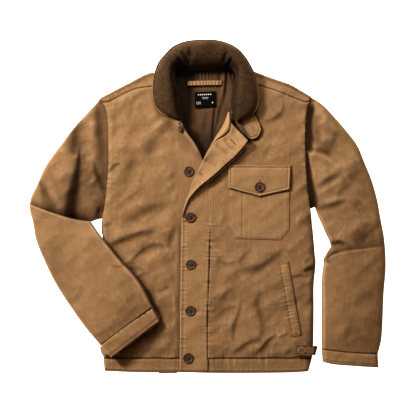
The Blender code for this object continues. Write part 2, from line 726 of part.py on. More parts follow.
def build_neck():
    def lining(x, y):
        gathers = 0.7 * math.sin(x / 2.9) * smooth((y - 285) / 26)
        pleats = 1.8 * math.exp(-(((x - 14 - (y - 175) * 0.09) / 4) ** 2)) * smooth((228 - y) / 16)
        pleats += 1.8 * math.exp(-(((x - 25 - (y - 175) * 0.14) / 4) ** 2)) * smooth((262 - y) / 20)
        pleats += 1.6 * math.exp(-(((x - 40) / 5) ** 2)) * smooth((y - 230) / 40)
        return 6.6 + 0.6 * smooth((y - 150) / 80) + gathers + pleats

    panel(
        "back_lining", "lining",
        [[(-18, 92), (-44, 140), (-60, 180), (-68, 240), (-71, 309.6)],
         [(8, 92), (30, 140), (54, 190), (60, 240), (60, 309.6)],
         [(-18, 92), (8, 92)], [(-71, 309.6), (60, 309.6)]],
        steps(16), steps(10), lining, 1.6,
    )

    def loop(x, y):
        ends = smooth((abs(x + 5.6) - 30) / 8)
        return 9.6 + 1.6 * (1 - ends)

    panel(
        "locker_loop", "canvas_trim",
        [[(-44.6, 277), (-44.6, 287.4)], [(33.4, 278.4), (33.4, 288.8)],
         [(-44.6, 277), (33.4, 278.4)], [(-44.6, 287.4), (33.4, 288.8)]],
        steps(12), steps(2), loop, 1.6,
    )
    panel(
        "label", "label_weave",
        [[(-28.3, 226), (-28.3, 261.7)], [(20.5, 229), (19.8, 264)],
         [(-28.3, 226), (20.5, 229)], [(-28.3, 261.7), (19.8, 264)]],
        steps(6), steps(4), lambda x, y: 8.9, 0.9,
    )


def build_pockets():
    def on_left(out):
        return lambda x, y: left_top(x, y) + out

    panel(
        "chest_pocket", "canvas",
        [[(66, -75), (48.5, -47), (48.5, 62)], [(170, -78), (189, -53.6), (190, 62)],
         [(66, -75), (170, -78)], [(48.5, 62), (190, 62)]],
        steps(9), steps(9), on_left(REST + PATCH_WALL), PATCH_WALL,
    )

    def flap(x, y):
        return left_top(x, y) + REST + 0.3 + 2.8 * smooth((93 - y) / 26) + 2.4

    panel(
        "pocket_flap", "canvas_trim",
        [[(48.5, 41.9), (49.2, 93.8)], [(189.3, 37.7), (192.3, 93.2)],
         [(48.5, 41.9), (120.5, 22.3), (189.3, 37.7)], [(49.2, 93.8), (192.3, 93.2)]],
        steps(10), steps(5), flap, 2.4,
    )
    panel(
        "welt_left", "canvas_trim",
        [[(194.8, -299.7), (165.4, -132)], [(216, -295.6), (186.5, -129.5)],
         [(194.8, -299.7), (216, -295.6)], [(165.4, -132), (186.5, -129.5)]],
        steps(3), steps(14), on_left(REST + PATCH_WALL), PATCH_WALL,
    )
    panel(
        "welt_right", "canvas_trim",
        [[(-228, -297), (-206, -142)], [(-207, -301), (-185, -146)],
         [(-228, -297), (-207, -301)], [(-206, -142), (-185, -146)]],
        steps(3), steps(14), lambda x, y: right_top(x, y) + REST + 1.8, 1.8,
    )


def build_tabs():
    def waist(top, side):
        def height(x, y):
            past = max(abs(x) - side, 0) / 25
            return top + REST + 2.6 - 9 * past ** 1.5
        return height

    panel(
        "waist_tab_left", "canvas_trim",
        [[(203, -342.7), (203, -318.6)], [(249, -342.5), (255, -322)],
         [(203, -342.7), (249, -342.5)], [(203, -318.6), (255, -322)]],
        steps(9), steps(3), waist(LEFT_TOP + 1.2, 230), 2.6,
    )
    panel(
        "waist_tab_right", "canvas_trim",
        [[(-242, -342), (-246.5, -324)], [(-201, -342), (-201, -319)],
         [(-242, -342), (-201, -342)], [(-246.5, -324), (-201, -319)]],
        steps(8), steps(3), waist(BODY_TOP + 1.0, 227), 2.0,
    )

    def throat(x, y):
        return 22.6 + 3.0 * smooth((205 - y) / 40)

    panel(
        "throat_tab", "canvas_trim",
        [[(67, 201), (72, 192), (86.5, 167), (91, 159)], [(104, 219), (108.6, 211), (120, 189), (124.5, 176)],
         [(67, 201), (104, 219)], [(91, 159), (96.5, 154.6), (107, 153), (118, 160), (124.5, 176)]],
        steps(6), steps(8), throat, 3.4,
    )


def build_buttons(cutters):
    """One turned button with four holes, copied to each place."""
    profile = bpy.data.meshes.new("button_profile")
    points = [(radius * MM, 0, height * MM) for radius, height in BUTTON_PROFILE]
    profile.from_pydata(points, [(i, i + 1) for i in range(len(points) - 1)], [])
    turned = bpy.data.objects.new("button_form", profile)
    collection.objects.link(turned)
    screw = turned.modifiers.new("turn", "SCREW")
    screw.axis = "Z"
    screw.steps = 14
    screw.render_steps = 14
    screw.use_merge_vertices = True
    screw.merge_threshold = 0.00005
    screw.use_normal_calculate = True
    drills = bmesh.new()
    for i in range(4):
        angle = math.radians(45 + 90 * i)
        spot = Vector((math.cos(angle), math.sin(angle), 0)) * BUTTON_HOLE_OUT * math.sqrt(2) * MM
        bmesh.ops.create_cone(
            drills, cap_ends=True, segments=6, radius1=BUTTON_HOLE_RADIUS * MM, radius2=BUTTON_HOLE_RADIUS * MM,
            depth=10 * MM, matrix=Matrix.Translation(spot),
        )
    drill_mesh = bpy.data.meshes.new("button_drills")
    drills.to_mesh(drill_mesh)
    drills.free()
    drill = bpy.data.objects.new("button_drills", drill_mesh)
    cutters.objects.link(drill)
    drill.hide_render = True
    drill.display_type = "WIRE"
    cut = turned.modifiers.new("holes", "BOOLEAN")
    cut.operation = "DIFFERENCE"
    cut.solver = "EXACT"
    cut.object = drill
    bpy.context.view_layer.update()
    graph = bpy.context.evaluated_depsgraph_get()
    finished = bpy.data.meshes.new_from_object(turned.evaluated_get(graph))
    bpy.data.objects.remove(turned)
    bpy.data.objects.remove(drill)
    for name, x, y, height, tilt, turn in BUTTONS:
        mesh = finished.copy()
        mesh.name = name
        mesh.materials.clear()
        mesh.materials.append(make_material("button_horn"))
        mesh.shade_smooth()
        mesh.set_sharp_from_angle(angle=math.radians(35))
        obj = bpy.data.objects.new(name, mesh)
        collection.objects.link(obj)
        obj.location = place((x, y, height))
        obj.rotation_euler = (math.radians(0), math.radians(tilt), math.radians(turn))


def build():
    global collection
    clear_scene()
    collection = bpy.data.collections.new("deck_jacket")
    bpy.context.scene.collection.children.link(collection)
    cutters = bpy.data.collections.new("cutters")
    bpy.context.scene.collection.children.link(cutters)
    build_body()
    build_front_opening()
    build_sleeves()
    build_cuffs()
    build_collar()
    build_neck()
    build_pockets()
    build_tabs()
    build_buttons(cutters)


build()
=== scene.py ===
# %% [markdown]
# # A deck jacket, laid flat
# A short canvas jacket with a wool collar lies on its back. Each step below dresses one kind of
# piece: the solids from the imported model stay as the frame, and a finer shell of cloth takes the
# place of each one. All sizes are in millimetres on tables seen from above: x to the viewer's
# right, y towards the collar, z up. Left and right in the names are the wearer's.

import math

import bpy
import numpy as np
from mathutils import Matrix, Vector


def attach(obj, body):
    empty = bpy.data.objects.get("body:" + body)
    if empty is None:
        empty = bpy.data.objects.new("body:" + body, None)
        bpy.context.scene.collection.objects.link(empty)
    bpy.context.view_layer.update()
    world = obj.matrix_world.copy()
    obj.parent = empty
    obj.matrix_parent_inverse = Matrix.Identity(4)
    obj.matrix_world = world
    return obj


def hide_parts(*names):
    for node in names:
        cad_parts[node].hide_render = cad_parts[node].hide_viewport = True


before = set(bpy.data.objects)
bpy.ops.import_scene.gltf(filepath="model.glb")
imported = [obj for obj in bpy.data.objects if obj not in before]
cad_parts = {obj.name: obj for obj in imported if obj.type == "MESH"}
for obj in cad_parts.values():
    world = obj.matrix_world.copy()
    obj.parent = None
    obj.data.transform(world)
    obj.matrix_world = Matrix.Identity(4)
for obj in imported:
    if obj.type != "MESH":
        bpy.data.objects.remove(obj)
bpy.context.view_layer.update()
MM = 0.001
CENTRE = (0.5, -1.0)

# %% [markdown]
# ## Camera, light and floor
# The jacket was photographed from straight above with a long lens, on white. A camera three
# metres up with a narrow view keeps the thick collar from leaning. One soft lamp from the upper
# left models the folds, a weak one beyond the collar lights its crest, and a dim warm world fills
# the shadows.

# %% Studio
CAMERA_HEIGHT = 3.2
VIEW_WIDTH = 0.9568

camera_data = bpy.data.cameras.new("camera")
camera = bpy.data.objects.new("camera", camera_data)
bpy.context.scene.collection.objects.link(camera)
camera.location = (0.0018, -0.0036, CAMERA_HEIGHT)
camera_data.sensor_fit = "HORIZONTAL"
camera_data.sensor_width = 36
camera_data.lens = 36 * (CAMERA_HEIGHT - 0.012) / VIEW_WIDTH
camera_data.clip_end = 20
bpy.context.scene.camera = camera


def area_lamp(name, place, size, power, colour):
    lamp_data = bpy.data.lights.new(name, "AREA")
    lamp_data.shape = "DISK"
    lamp_data.size = size
    lamp_data.energy = power
    lamp_data.color = colour
    lamp = bpy.data.objects.new(name, lamp_data)
    bpy.context.scene.collection.objects.link(lamp)
    lamp.location = place
    lamp.rotation_euler = (Vector((0, 0, 0)) - Vector(place)).to_track_quat("-Z", "Y").to_euler()
    return lamp


area_lamp("key", (-1.95, 1.36, 1.6), 0.6, 96, (1.0, 1.0, 1.0))
area_lamp("top", (0.15, 1.15, 0.85), 0.5, 7.0, (1.0, 0.99, 0.98))
world = bpy.data.worlds.new("tent")
bpy.context.scene.world = world
world.use_nodes = True
world.node_tree.nodes["Background"].inputs["Color"].default_value = (1.0, 0.83, 0.62, 1)
world.node_tree.nodes["Background"].inputs["Strength"].default_value = 0.22
bpy.context.scene.view_settings.view_transform = "Standard"
bpy.context.scene.view_settings.look = "High Contrast"


def deselect():
    for item in bpy.context.selected_objects:
        item.select_set(False)


def select_only(item):
    deselect()
    bpy.context.view_layer.objects.active = item
    item.select_set(True)


deselect()
bpy.ops.mesh.primitive_plane_add(size=12, location=(0, 0, -0.0006))
floor = bpy.context.active_object
floor.name = "floor"

# %% [markdown]
# ## Shader sums
# A small class wraps a socket so that patterns read as sums: `1 - mask * 0.5` adds the Math
# nodes. One method makes any other node.

# %% Shader helpers


class Wire:
    """A socket with arithmetic."""

    def __init__(self, tree, socket):
        self.tree = tree
        self.socket = socket

    def math(self, operation, *others):
        node = self.tree.nodes.new("ShaderNodeMath")
        node.operation = operation
        for slot, value in zip(node.inputs, (self, *others)):
            join(self.tree, value, slot)
        return Wire(self.tree, node.outputs[0])

    def __add__(self, other):
        return self.math("ADD", other)

    __radd__ = __add__

    def __mul__(self, other):
        return self.math("MULTIPLY", other)

    __rmul__ = __mul__

    def __sub__(self, other):
        return self.math("SUBTRACT", other)

    def __rsub__(self, other):
        return (self * -1) + other


def join(tree, value, slot):
    if isinstance(value, Wire):
        tree.links.new(value.socket, slot)
    elif value is not None:
        slot.default_value = value


WAVES_PER_METRE = 314.16  # the wave texture's scale for a pitch of one millimetre


class Finish:
    """A material under construction."""

    def __init__(self, name, roughness, sheen=0.0, sheen_tint=(1, 1, 1, 1)):
        self.material = bpy.data.materials.new(name)
        self.material.use_nodes = True
        self.tree = self.material.node_tree
        self.shader = self.tree.nodes["Principled BSDF"]
        self.shader.inputs["Roughness"].default_value = roughness
        self.shader.inputs["Specular IOR Level"].default_value = 0.25
        self.shader.inputs["Sheen Weight"].default_value = sheen
        self.shader.inputs["Sheen Roughness"].default_value = 0.5
        self.shader.inputs["Sheen Tint"].default_value = sheen_tint
        self.place = Wire(self.tree, self.node("ShaderNodeTexCoord").outputs["Object"])
        self.cloth_uv = Wire(self.tree, self.node("ShaderNodeTexCoord").outputs["UV"])

    def node(self, kind, settings=None, **values):
        made = self.tree.nodes.new(kind)
        for key, value in (settings or {}).items():
            setattr(made, key, value)
        for key, value in values.items():
            join(self.tree, value, made.inputs[key.replace("_", " ")])
        return made

    def noise(self, size_mm, detail=3.0, where=None, rough=0.55):
        made = self.node(
            "ShaderNodeTexNoise", Scale=1000.0 / size_mm, Detail=detail, Roughness=rough,
            Vector=where or self.place,
        )
        return Wire(self.tree, made.outputs["Fac"])

    def stretched(self, source, scale):
        made = self.node("ShaderNodeMapping")
        join(self.tree, source, made.inputs["Vector"])
        made.inputs["Scale"].default_value = scale
        return Wire(self.tree, made.outputs["Vector"])

    def mix(self, share, first, second):
        made = self.node("ShaderNodeMix", {"data_type": "RGBA"})
        join(self.tree, share, made.inputs[0])
        for value, slot in ((first, made.inputs[6]), (second, made.inputs[7])):
            join(self.tree, value if isinstance(value, Wire) else (*value, 1), slot)
        return Wire(self.tree, made.outputs[2])

    def ramp(self, source, low, high):
        made = self.node("ShaderNodeMapRange", {"clamp": True}, Value=source, From_Min=low, From_Max=high)
        return Wire(self.tree, made.outputs["Result"])

    def attribute(self, name):
        made = self.node("ShaderNodeAttribute", {"attribute_name": name})
        return Wire(self.tree, made.outputs["Fac"])

    def threads(self, pitch_mm, turn):
        """Fine parallel threads across the cloth's own UV, in metres."""
        turned = self.node("ShaderNodeMapping")
        join(self.tree, self.cloth_uv, turned.inputs["Vector"])
        turned.inputs["Rotation"].default_value = (0, 0, turn)
        made = self.node(
            "ShaderNodeTexWave", {"wave_type": "BANDS", "bands_direction": "X", "wave_profile": "SIN"},
            Vector=Wire(self.tree, turned.outputs["Vector"]), Scale=WAVES_PER_METRE / pitch_mm,
            Distortion=1.2, Detail=2.0,
        )
        made.inputs["Detail Scale"].default_value = 2.0
        return Wire(self.tree, made.outputs["Fac"])

    def colour(self, wire):
        join(self.tree, wire, self.shader.inputs["Base Color"])

    def rough(self, wire):
        join(self.tree, wire, self.shader.inputs["Roughness"])

    def bump(self, height, strength, depth_mm):
        made = self.node("ShaderNodeBump", Strength=strength, Distance=depth_mm * MM, Height=height)
        join(self.tree, Wire(self.tree, made.outputs["Normal"]), self.shader.inputs["Normal"])
        return self.material


# %% [markdown]
# ## Canvas
# The shell is a washed cotton canvas. Washing rubs the high points of each pucker pale and leaves
# the dye in the hollows, so every panel carries a value for each point from how far it stands above
# the cloth around it, which the colour reads; the hollows are also mixed darker than the dye, as
# painted shade. Slow patches of lighter and darker dye, a slub that runs with the threads and the
# twill itself come on top.

# %% Canvas finish


def canvas_finish(name, dark, middle, pale, turn=0.0):
    cloth = Finish(name, 0.95, sheen=0.05, sheen_tint=(0.9, 0.75, 0.55, 1))
    cloth.shader.inputs["Specular IOR Level"].default_value = 0.1
    patches = cloth.noise(46, 5)
    slub = cloth.noise(7.0, 3, cloth.stretched(cloth.cloth_uv, (1.0, 0.28, 1.0)), 0.65)
    grain = cloth.noise(2.2, 3, None, 0.7)
    tone = cloth.ramp(patches * 0.38 + slub * 0.34 + grain * 0.48, 0.44, 0.76)
    base = cloth.mix(tone, dark, middle)
    wear_and_shade = cloth.attribute("wear_and_shade")
    # High points fade pale, as wear; the hollows are mixed darker than the dye, as painted shade.
    faded = cloth.mix(cloth.ramp(wear_and_shade + (grain - 0.5) * 0.25, 0.55, 1.3), base, pale)
    worn_and_shaded = cloth.mix(cloth.ramp(wear_and_shade, 0.45, -0.7), faded, tuple(c * 0.42 for c in dark))
    # The painted shade value mixes the canvas toward near-black.
    cloth.colour(cloth.mix(cloth.attribute("painted_shade"), worn_and_shaded, (0.016, 0.006, 0.002)))
    cloth.rough(0.84 + grain * 0.12)
    twill = cloth.threads(1.3, math.radians(58) + turn)
    return cloth.bump(twill * 0.25 + slub * 0.9 + grain * 0.8, 0.75, 0.9)


canvas = canvas_finish("canvas_shell", (0.232, 0.138, 0.069), (0.318, 0.196, 0.103), (0.45, 0.30, 0.18))
canvas_trim_finish = canvas_finish(
    "canvas_trim_cloth", (0.266, 0.161, 0.082), (0.358, 0.223, 0.119), (0.50, 0.34, 0.205), 0.2
)
canvas_pale = canvas_finish(
    "canvas_facing", (0.29, 0.176, 0.09), (0.38, 0.235, 0.124), (0.53, 0.355, 0.21), 0.4
)
print("canvas made")

# %% [markdown]
# ## Wool, lining, label, horn and thread
# The collar is a brushed wool: short fibres with no visible weave, dark in the hollows and with
# a soft sheen where they stand up. The lining is a smooth plain weave, and the label a tight
# black one. The buttons are turned from mottled horn, so they take a little polish.

# %% Other finishes
wool_cloth = Finish("brushed_wool", 0.95, sheen=0.12, sheen_tint=(0.62, 0.42, 0.24, 1))
fibres = wool_cloth.noise(2.6, 4)
tufts = wool_cloth.noise(9, 3)
nap = wool_cloth.noise(34, 3)
napped = wool_cloth.mix(
    wool_cloth.ramp(fibres * 0.62 + tufts * 0.22 + nap * 0.26, 0.42, 0.72), (
        0.036, 0.019, 0.0078
    ), (0.112, 0.065, 0.031)
)
# The painted shade value mixes the wool toward near-black.
wool_cloth.colour(wool_cloth.mix(wool_cloth.attribute("painted_shade"), napped, (0.006, 0.003, 0.001)))
wool_cloth.rough(0.86 + fibres * 0.14)
wool = wool_cloth.bump(fibres * 0.7 + tufts * 0.5, 0.8, 0.9)

lining_cloth = Finish("lining_weave", 0.7, sheen=0.1)
plain = lining_cloth.noise(1.4, 2)
cloudy = lining_cloth.noise(45, 3)
woven = lining_cloth.mix(
    lining_cloth.ramp(plain * 0.4 + cloudy * 0.6, 0.35, 0.7), (0.075, 0.037, 0.0145), (0.125, 0.066, 0.030)
)
# The painted shade value mixes the lining toward near-black.
lining_cloth.colour(lining_cloth.mix(lining_cloth.attribute("painted_shade"), woven, (0.006, 0.003, 0.001)))
lining_cloth.rough(0.62 + plain * 0.2)
lining = lining_cloth.bump(plain, 0.35, 0.25)

label_cloth = Finish("label_weave", 0.9)
label_cloth.shader.inputs["Specular IOR Level"].default_value = 0.08
ribs = label_cloth.threads(0.8, 0.0)
label_cloth.colour(label_cloth.mix(ribs, (0.003, 0.003, 0.003), (0.008, 0.0075, 0.007)))
label_cloth.rough(0.7 + ribs * 0.15)
label_black = label_cloth.bump(ribs, 0.4, 0.15)


def plain_finish(name, roughness, grain_mm, dark, pale, rough_from, rough_by):
    """A finish with one fine grain in its colour, its roughness and its relief."""
    cloth = Finish(name, roughness)
    grain = cloth.noise(grain_mm, 2)
    cloth.colour(cloth.mix(grain, dark, pale))
    cloth.rough(rough_from + grain * rough_by)
    return cloth.bump(grain, 0.4, 0.2)


label_pale = plain_finish("label_woven_lines", 0.8, 0.8, (0.42, 0.40, 0.37), (0.66, 0.63, 0.58), 0.7, 0.2)
thread = plain_finish("sewing_thread", 0.7, 0.9, (0.33, 0.21, 0.115), (0.50, 0.36, 0.22), 0.6, 0.25)
# Dark thread for the tab's stitching, the bar tacks and the button threads; the same colour is the painted
# shade of the buttonhole slits.
dark_thread_and_slit_shade = plain_finish("dark_thread_and_slit_shade", 0.7, 0.9, (0.035, 0.022, 0.014), (0.09, 0.06, 0.04), 0.6, 0.25)

horn_cloth = Finish("mottled_horn", 0.42)
mottle = horn_cloth.noise(6, 4)
streak = horn_cloth.noise(2.2, 3, horn_cloth.stretched(horn_cloth.place, (0.35, 1.6, 1.0)))
horn_cloth.colour(
    horn_cloth.mix(
        horn_cloth.ramp(mottle * 0.6 + streak * 0.45, 0.4, 0.7), (0.055, 0.029, 0.019),
        (0.155, 0.092, 0.063),
    )
)
horn_cloth.rough(0.32 + streak * 0.22)
horn = horn_cloth.bump(streak * 0.5 + mottle * 0.3, 0.25, 0.3)

paper = Finish("studio_floor", 0.9)
paper_grain = paper.noise(400, 2)
paper.colour(paper.mix(paper_grain, (0.93, 0.93, 0.93), (0.955, 0.955, 0.955)))
paper.shader.inputs["Emission Color"].default_value = (1, 1, 1, 1)
paper.shader.inputs["Emission Strength"].default_value = 0.9
floor.data.materials.append(paper.material)
print("finishes made")

# %% [markdown]
# ## Lines and panels
# A maker draws a panel by its four edges. Each edge is a short row of points, eased into a curve.
# A panel is filled in between its edges, and a height function lifts every point, so one small
# set of helpers makes all the flat cloth.

# %% Lines


class Line:
    """A drawn line through a row of points, walked by share of its length."""

    def __init__(self, rows, eased=True):
        points = np.array(rows, float)
        if eased and len(points) > 2:
            points = self.ease(points)
        self.points = points
        steps = np.linalg.norm(np.diff(points, axis=0), axis=1)
        self.run = np.concatenate([[0.0], np.cumsum(steps)])
        self.length = float(self.run[-1])

    @staticmethod
    def ease(points, parts=6):
        before = np.vstack([2 * points[0] - points[1], points[:-1]])
        after = np.vstack([points[1:], 2 * points[-1] - points[-2]])
        span = np.linalg.norm(points[1:] - points[:-1], axis=1)[:, None]
        slope = (after - before) / np.maximum(np.linalg.norm(after - before, axis=1)[:, None], 1e-6)
        share = (np.arange(parts) / parts)[None, :, None]
        start, end = points[:-1, None], points[1:, None]
        out, into = (slope[:-1] * span)[:, None], (slope[1:] * span)[:, None]
        curve = (
            (2 * share**3 - 3 * share**2 + 1) * start + (share**3 - 2 * share**2 + share) * out
            + (3 * share**2 - 2 * share**3) * end + (share**3 - share**2) * into
        )
        return np.vstack([curve.reshape(-1, points.shape[1]), points[-1:]])

    def at(self, share):
        wanted = np.asarray(share, float) * self.length
        return np.stack([np.interp(wanted, self.run, column) for column in self.points.T], axis=-1)

    def near(self, x, y):
        """Distance from the line, the run along it and the side, for arrays of points."""
        best = np.full(np.shape(x), 1e9)
        along = np.zeros(np.shape(x))
        side = np.zeros(np.shape(x))
        for i in range(len(self.points) - 1):
            start = self.points[i]
            step = self.points[i + 1] - start
            size = float(step @ step)
            if size < 1e-9:
                continue
            share = np.clip(((x - start[0]) * step[0] + (y - start[1]) * step[1]) / size, 0, 1)
            dx = x - start[0] - step[0] * share
            dy = y - start[1] - step[1] * share
            off = np.hypot(dx, dy)
            closer = off < best
            best = np.where(closer, off, best)
            along = np.where(closer, self.run[i] + share * math.sqrt(size), along)
            side = np.where(closer, np.sign(step[0] * dy - step[1] * dx), side)
        return best, along, side


def smooth(value):
    value = np.clip(value, 0, 1)
    return value * value * (3 - 2 * value)


def quarter(distance, radius):
    share = np.clip(distance / radius, 0, 1)
    return (1 - (1 - share) ** 2.4) ** (1 / 2.4)


def dip(distance, width):
    return np.exp(-((distance / width) ** 2))


def beside(line, x, y, width):
    """1 on a line, falling off to nothing within about two widths on each side of it."""
    return dip(line.near(x, y)[0], width)


def fading(line, x, y, reach):
    """1 on a line, falling off slowly away from it."""
    return np.exp(-line.near(x, y)[0] / reach)


def lattice(x, y, seed):
    """Value noise from -1 to 1 with one lump to each unit."""
    ix, iy = np.floor(x), np.floor(y)
    fx, fy = smooth(x - ix), smooth(y - iy)

    def corner(dx, dy):
        mixed = np.sin((ix + dx) * 127.1 + (iy + dy) * 311.7 + seed * 74.7) * 43758.5453
        return (mixed - np.floor(mixed)) * 2 - 1

    low = corner(0, 0) * (1 - fx) + corner(1, 0) * fx
    high = corner(0, 1) * (1 - fx) + corner(1, 1) * fx
    return low * (1 - fy) + high * fy


def lumps(x, y, size, seed):
    """A smooth uneven field: two turned layers of noise, so that no direction shows."""
    gx, gy = x / size + seed * 3.7, y / size - seed * 1.9
    first = lattice(gx * 0.86 + gy * 0.51, gy * 0.86 - gx * 0.51, seed)
    second = lattice(gx * 1.13 - gy * 0.74 + 9.1, gx * 0.74 + gy * 1.13, seed + 13.0)
    return 0.72 * first + 0.48 * second


def coons(sides, u, v):
    left, right, bottom, top = sides
    u, v = u[..., None], v[..., None]
    corners = (
        bottom.at(0) * (1 - u) * (1 - v) + bottom.at(1) * u * (1 - v) + top.at(0) * (1 - u) * v
        + top.at(1) * u * v
    )
    return (
        left.at(v[..., 0]) * (1 - u) + right.at(v[..., 0]) * u + bottom.at(u[..., 0]) * (1 - v)
        + top.at(u[..., 0]) * v - corners
    )


def shares(length, pitch, close_start=0.0, close_end=0.0):
    """Shares from 0 to 1 about one pitch apart, with a few close ones at an end that rounds over."""
    count = max(int(round(length / pitch)), 2)
    even = list(np.linspace(0, 1, count + 1))
    start = [0.05 / length, 0.5 / length, 1.3 / length] if close_start else []
    end = [1 - 1.3 / length, 1 - 0.5 / length, 1 - 0.05 / length] if close_end else []
    return np.array(sorted(set([round(float(s), 6) for s in even + start + end])))


print("line helpers made")

# %% [markdown]
# ## Pressed folds and puckers
# A fold is a soft trough from one point to another, with its own width and depth, and it fades at
# both ends. A pucker is what the sewing machine leaves: short ripples square to a seam, uneven in
# depth and spacing, dying away within a centimetre or two. Both return a height to add.

# %% Folds


def folds(table, x, y):
    total = np.zeros(np.shape(x))
    for x0, y0, x1, y1, width, depth in table:
        ax, ay = x1 - x0, y1 - y0
        size = ax * ax + ay * ay
        share = ((x - x0) * ax + (y - y0) * ay) / size
        off = ((x - x0) * ay - (y - y0) * ax) / math.sqrt(size)
        wander = off + 0.16 * width * np.sin(share * 5.1 + x0) + lumps(x, y, 34, 5) * 0.22 * width
        ends = smooth((share + 0.25) / 0.45) * smooth((1.25 - share) / 0.45)
        sharp = np.where(wander > 0, 0.78, 1.18) * width
        total = total + depth * ends * np.exp(-((np.abs(wander) / sharp) ** 1.7))
    return total


def drags(table, x, y, reach, least=-99):
    """Walks a table of curved drag lines. Each row: half width, depth, then x and y of each point."""
    for width, depth, *points in table:
        line = Line(np.reshape(points, (-1, 2)))
        low, high = line.points.min(axis=0) - reach * width, line.points.max(axis=0) + reach * width
        inside = (x > low[0]) & (x < high[0]) & (y > low[1]) & (y < high[1])
        if depth < least or not inside.any():
            continue
        off, along, side = line.near(x[inside], y[inside])
        taper = np.sin(math.pi * np.clip(along / line.length, 0, 1)) ** 0.8
        yield line, inside, width, depth, off, side, taper


def creases(table, x, y):
    """Height lost along drag lines: a step down on the lamp's side, a low ridge beyond it."""
    total = np.zeros(np.shape(x))
    for line, inside, width, depth, off, side, taper in drags(table, x, y, 9):
        run = line.points[-1] - line.points[0]
        lampward = off * side * (-1.0 if run[1] * 0.7 + run[0] * 0.7 < 0 else 1.0)
        slim = 0.9 * width * (0.45 + 0.55 * taper) * (1 + 0.3 * lumps(x[inside], y[inside], 27, 5))
        step = 0.5 - 0.5 * np.tanh(lampward / slim)
        far = np.exp(-np.maximum(-lampward, 0) / (2.4 * width))
        near = np.exp(-np.maximum(lampward, 0) / (2.0 * width))
        total[inside] += 0.62 * depth * taper * (step * far - 0.4 * (1 - step) * near)
    return total


def drag_shade(table, x, y):
    """The shade that gathers along the deeper drag lines of a table, from 0 to 0.5."""
    total = np.zeros(np.shape(x))
    for line, inside, width, depth, off, side, taper in drags(table, x, y, 3, 2.5):
        total[inside] += 0.055 * depth * taper * np.exp(-((off / width) ** 2))
    return np.minimum(total, 0.5)


def hollows(table, x, y):
    """Deep flat-bottomed pits. Each row: points, half width at the start and at the end, depth."""
    total = np.zeros(np.shape(x))
    for rows, first, last, depth in table:
        line = Line(rows)
        off, along, side = line.near(x, y)
        share = along / line.length
        wide = (first + (last - first) * share) * (1 + 0.2 * lumps(x, y, 23, 9))
        begun = smooth((along + 1) / 26)
        total = np.maximum(total, depth * begun * (1 - smooth((off - 0.2 * wide) / (1.35 * wide))))
    return total


def overlap(line, x, y, drop, reach):
    """Where a fold lies over the cloth above it: a slope down to the line, then a steep step up."""
    off, along, side = line.near(x, y)
    ends = smooth((along + 20) / 40) * smooth((line.length - along + 6) / 24)
    uneven = 1 + 0.3 * lumps(x, y, 29, 6)
    return ends * drop * np.where(side > 0, np.exp(-off / (reach * uneven)), np.exp(-((off / 2.6) ** 2)))


def puckers(line, x, y, pitch, reach, depth, seed, least=0.05):
    """Ripples square to a seam. Returns height, highest at a ridge."""
    off, along, side = line.near(x, y)
    run = along + 2.4 * lumps(x, y, 17, seed + 3)
    wave = np.sin(run / pitch * math.tau + 2.6 * np.sin(run / pitch * 0.83 + seed) + seed)
    wave = wave + 0.6 * np.sin(run / pitch * math.tau * 0.61 + seed * 2.1)
    strength = np.clip(0.35 + 0.9 * lumps(along, 0 * along + seed * 9.0, 31, seed), least, 1.3)
    own_reach = reach * (0.75 + 0.5 * np.sin(run / pitch * 1.9 + seed))
    return 0.6 * depth * wave * strength * np.exp(-off / np.maximum(own_reach, 2.0))


def cloth_unevenness(x, y, seed):
    """What a soft padded panel does on its own: broad swells, slanting drags and small lumps."""
    slant_x, slant_y = x * 0.82 + y * 0.57, y * 0.82 - x * 0.57
    slants = lumps(slant_x * 0.45, slant_y, 21, seed + 4)
    fine = 0.24 * lumps(x, y, 10, seed + 2) + 0.09 * lumps(x, y, 5, seed + 6)
    return 1.9 * lumps(x, y, 62, seed) + 1.5 * slants + 0.75 * lumps(x, y, 24, seed + 1) + fine


# %% [markdown]
# ## Making a sheet
# The height function gives the outer surface. The faces are walled with Solidify, applied at
# once, so that the sheet has a real edge. Each point keeps its place on the cloth as a UV in
# metres, and a value from how far it stands above or below the cloth around it: the finish reads
# it as wear on the high points and as painted shade in the hollows. Where other cloth covers it or
# throws a shadow on it, or it lies low in a fold, it also gets a painted shade value, which the
# finish mixes toward near-black: lamps alone leave such narrow places too pale.

# %% Sheet helper
DARKEST = 0.95  # the share of near-black that the deepest shade comes close to
pieces = {}


def in_world(points):
    placed = np.asarray(points, float).copy()
    placed[..., 0] -= CENTRE[0]
    placed[..., 1] -= CENTRE[1]
    return placed * MM


def wear_and_shade_of(points, closed):
    """Height above the mean of the points around, from 0 in a hollow to 1 on a ridge."""
    z = points[..., 2]
    mean = z.copy()
    for _ in range(5):
        padded = np.pad(mean, ((1, 1), (1, 1)), mode="edge")
        if closed:
            padded[:, 0] = padded[:, -3]
            padded[:, -1] = padded[:, 2]
        mean = (padded[:-2, 1:-1] + padded[2:, 1:-1] + padded[1:-1, :-2] + padded[1:-1, 2:] + mean) / 5
    return np.clip(0.5 + (z - mean) * 0.9, 0, 1)


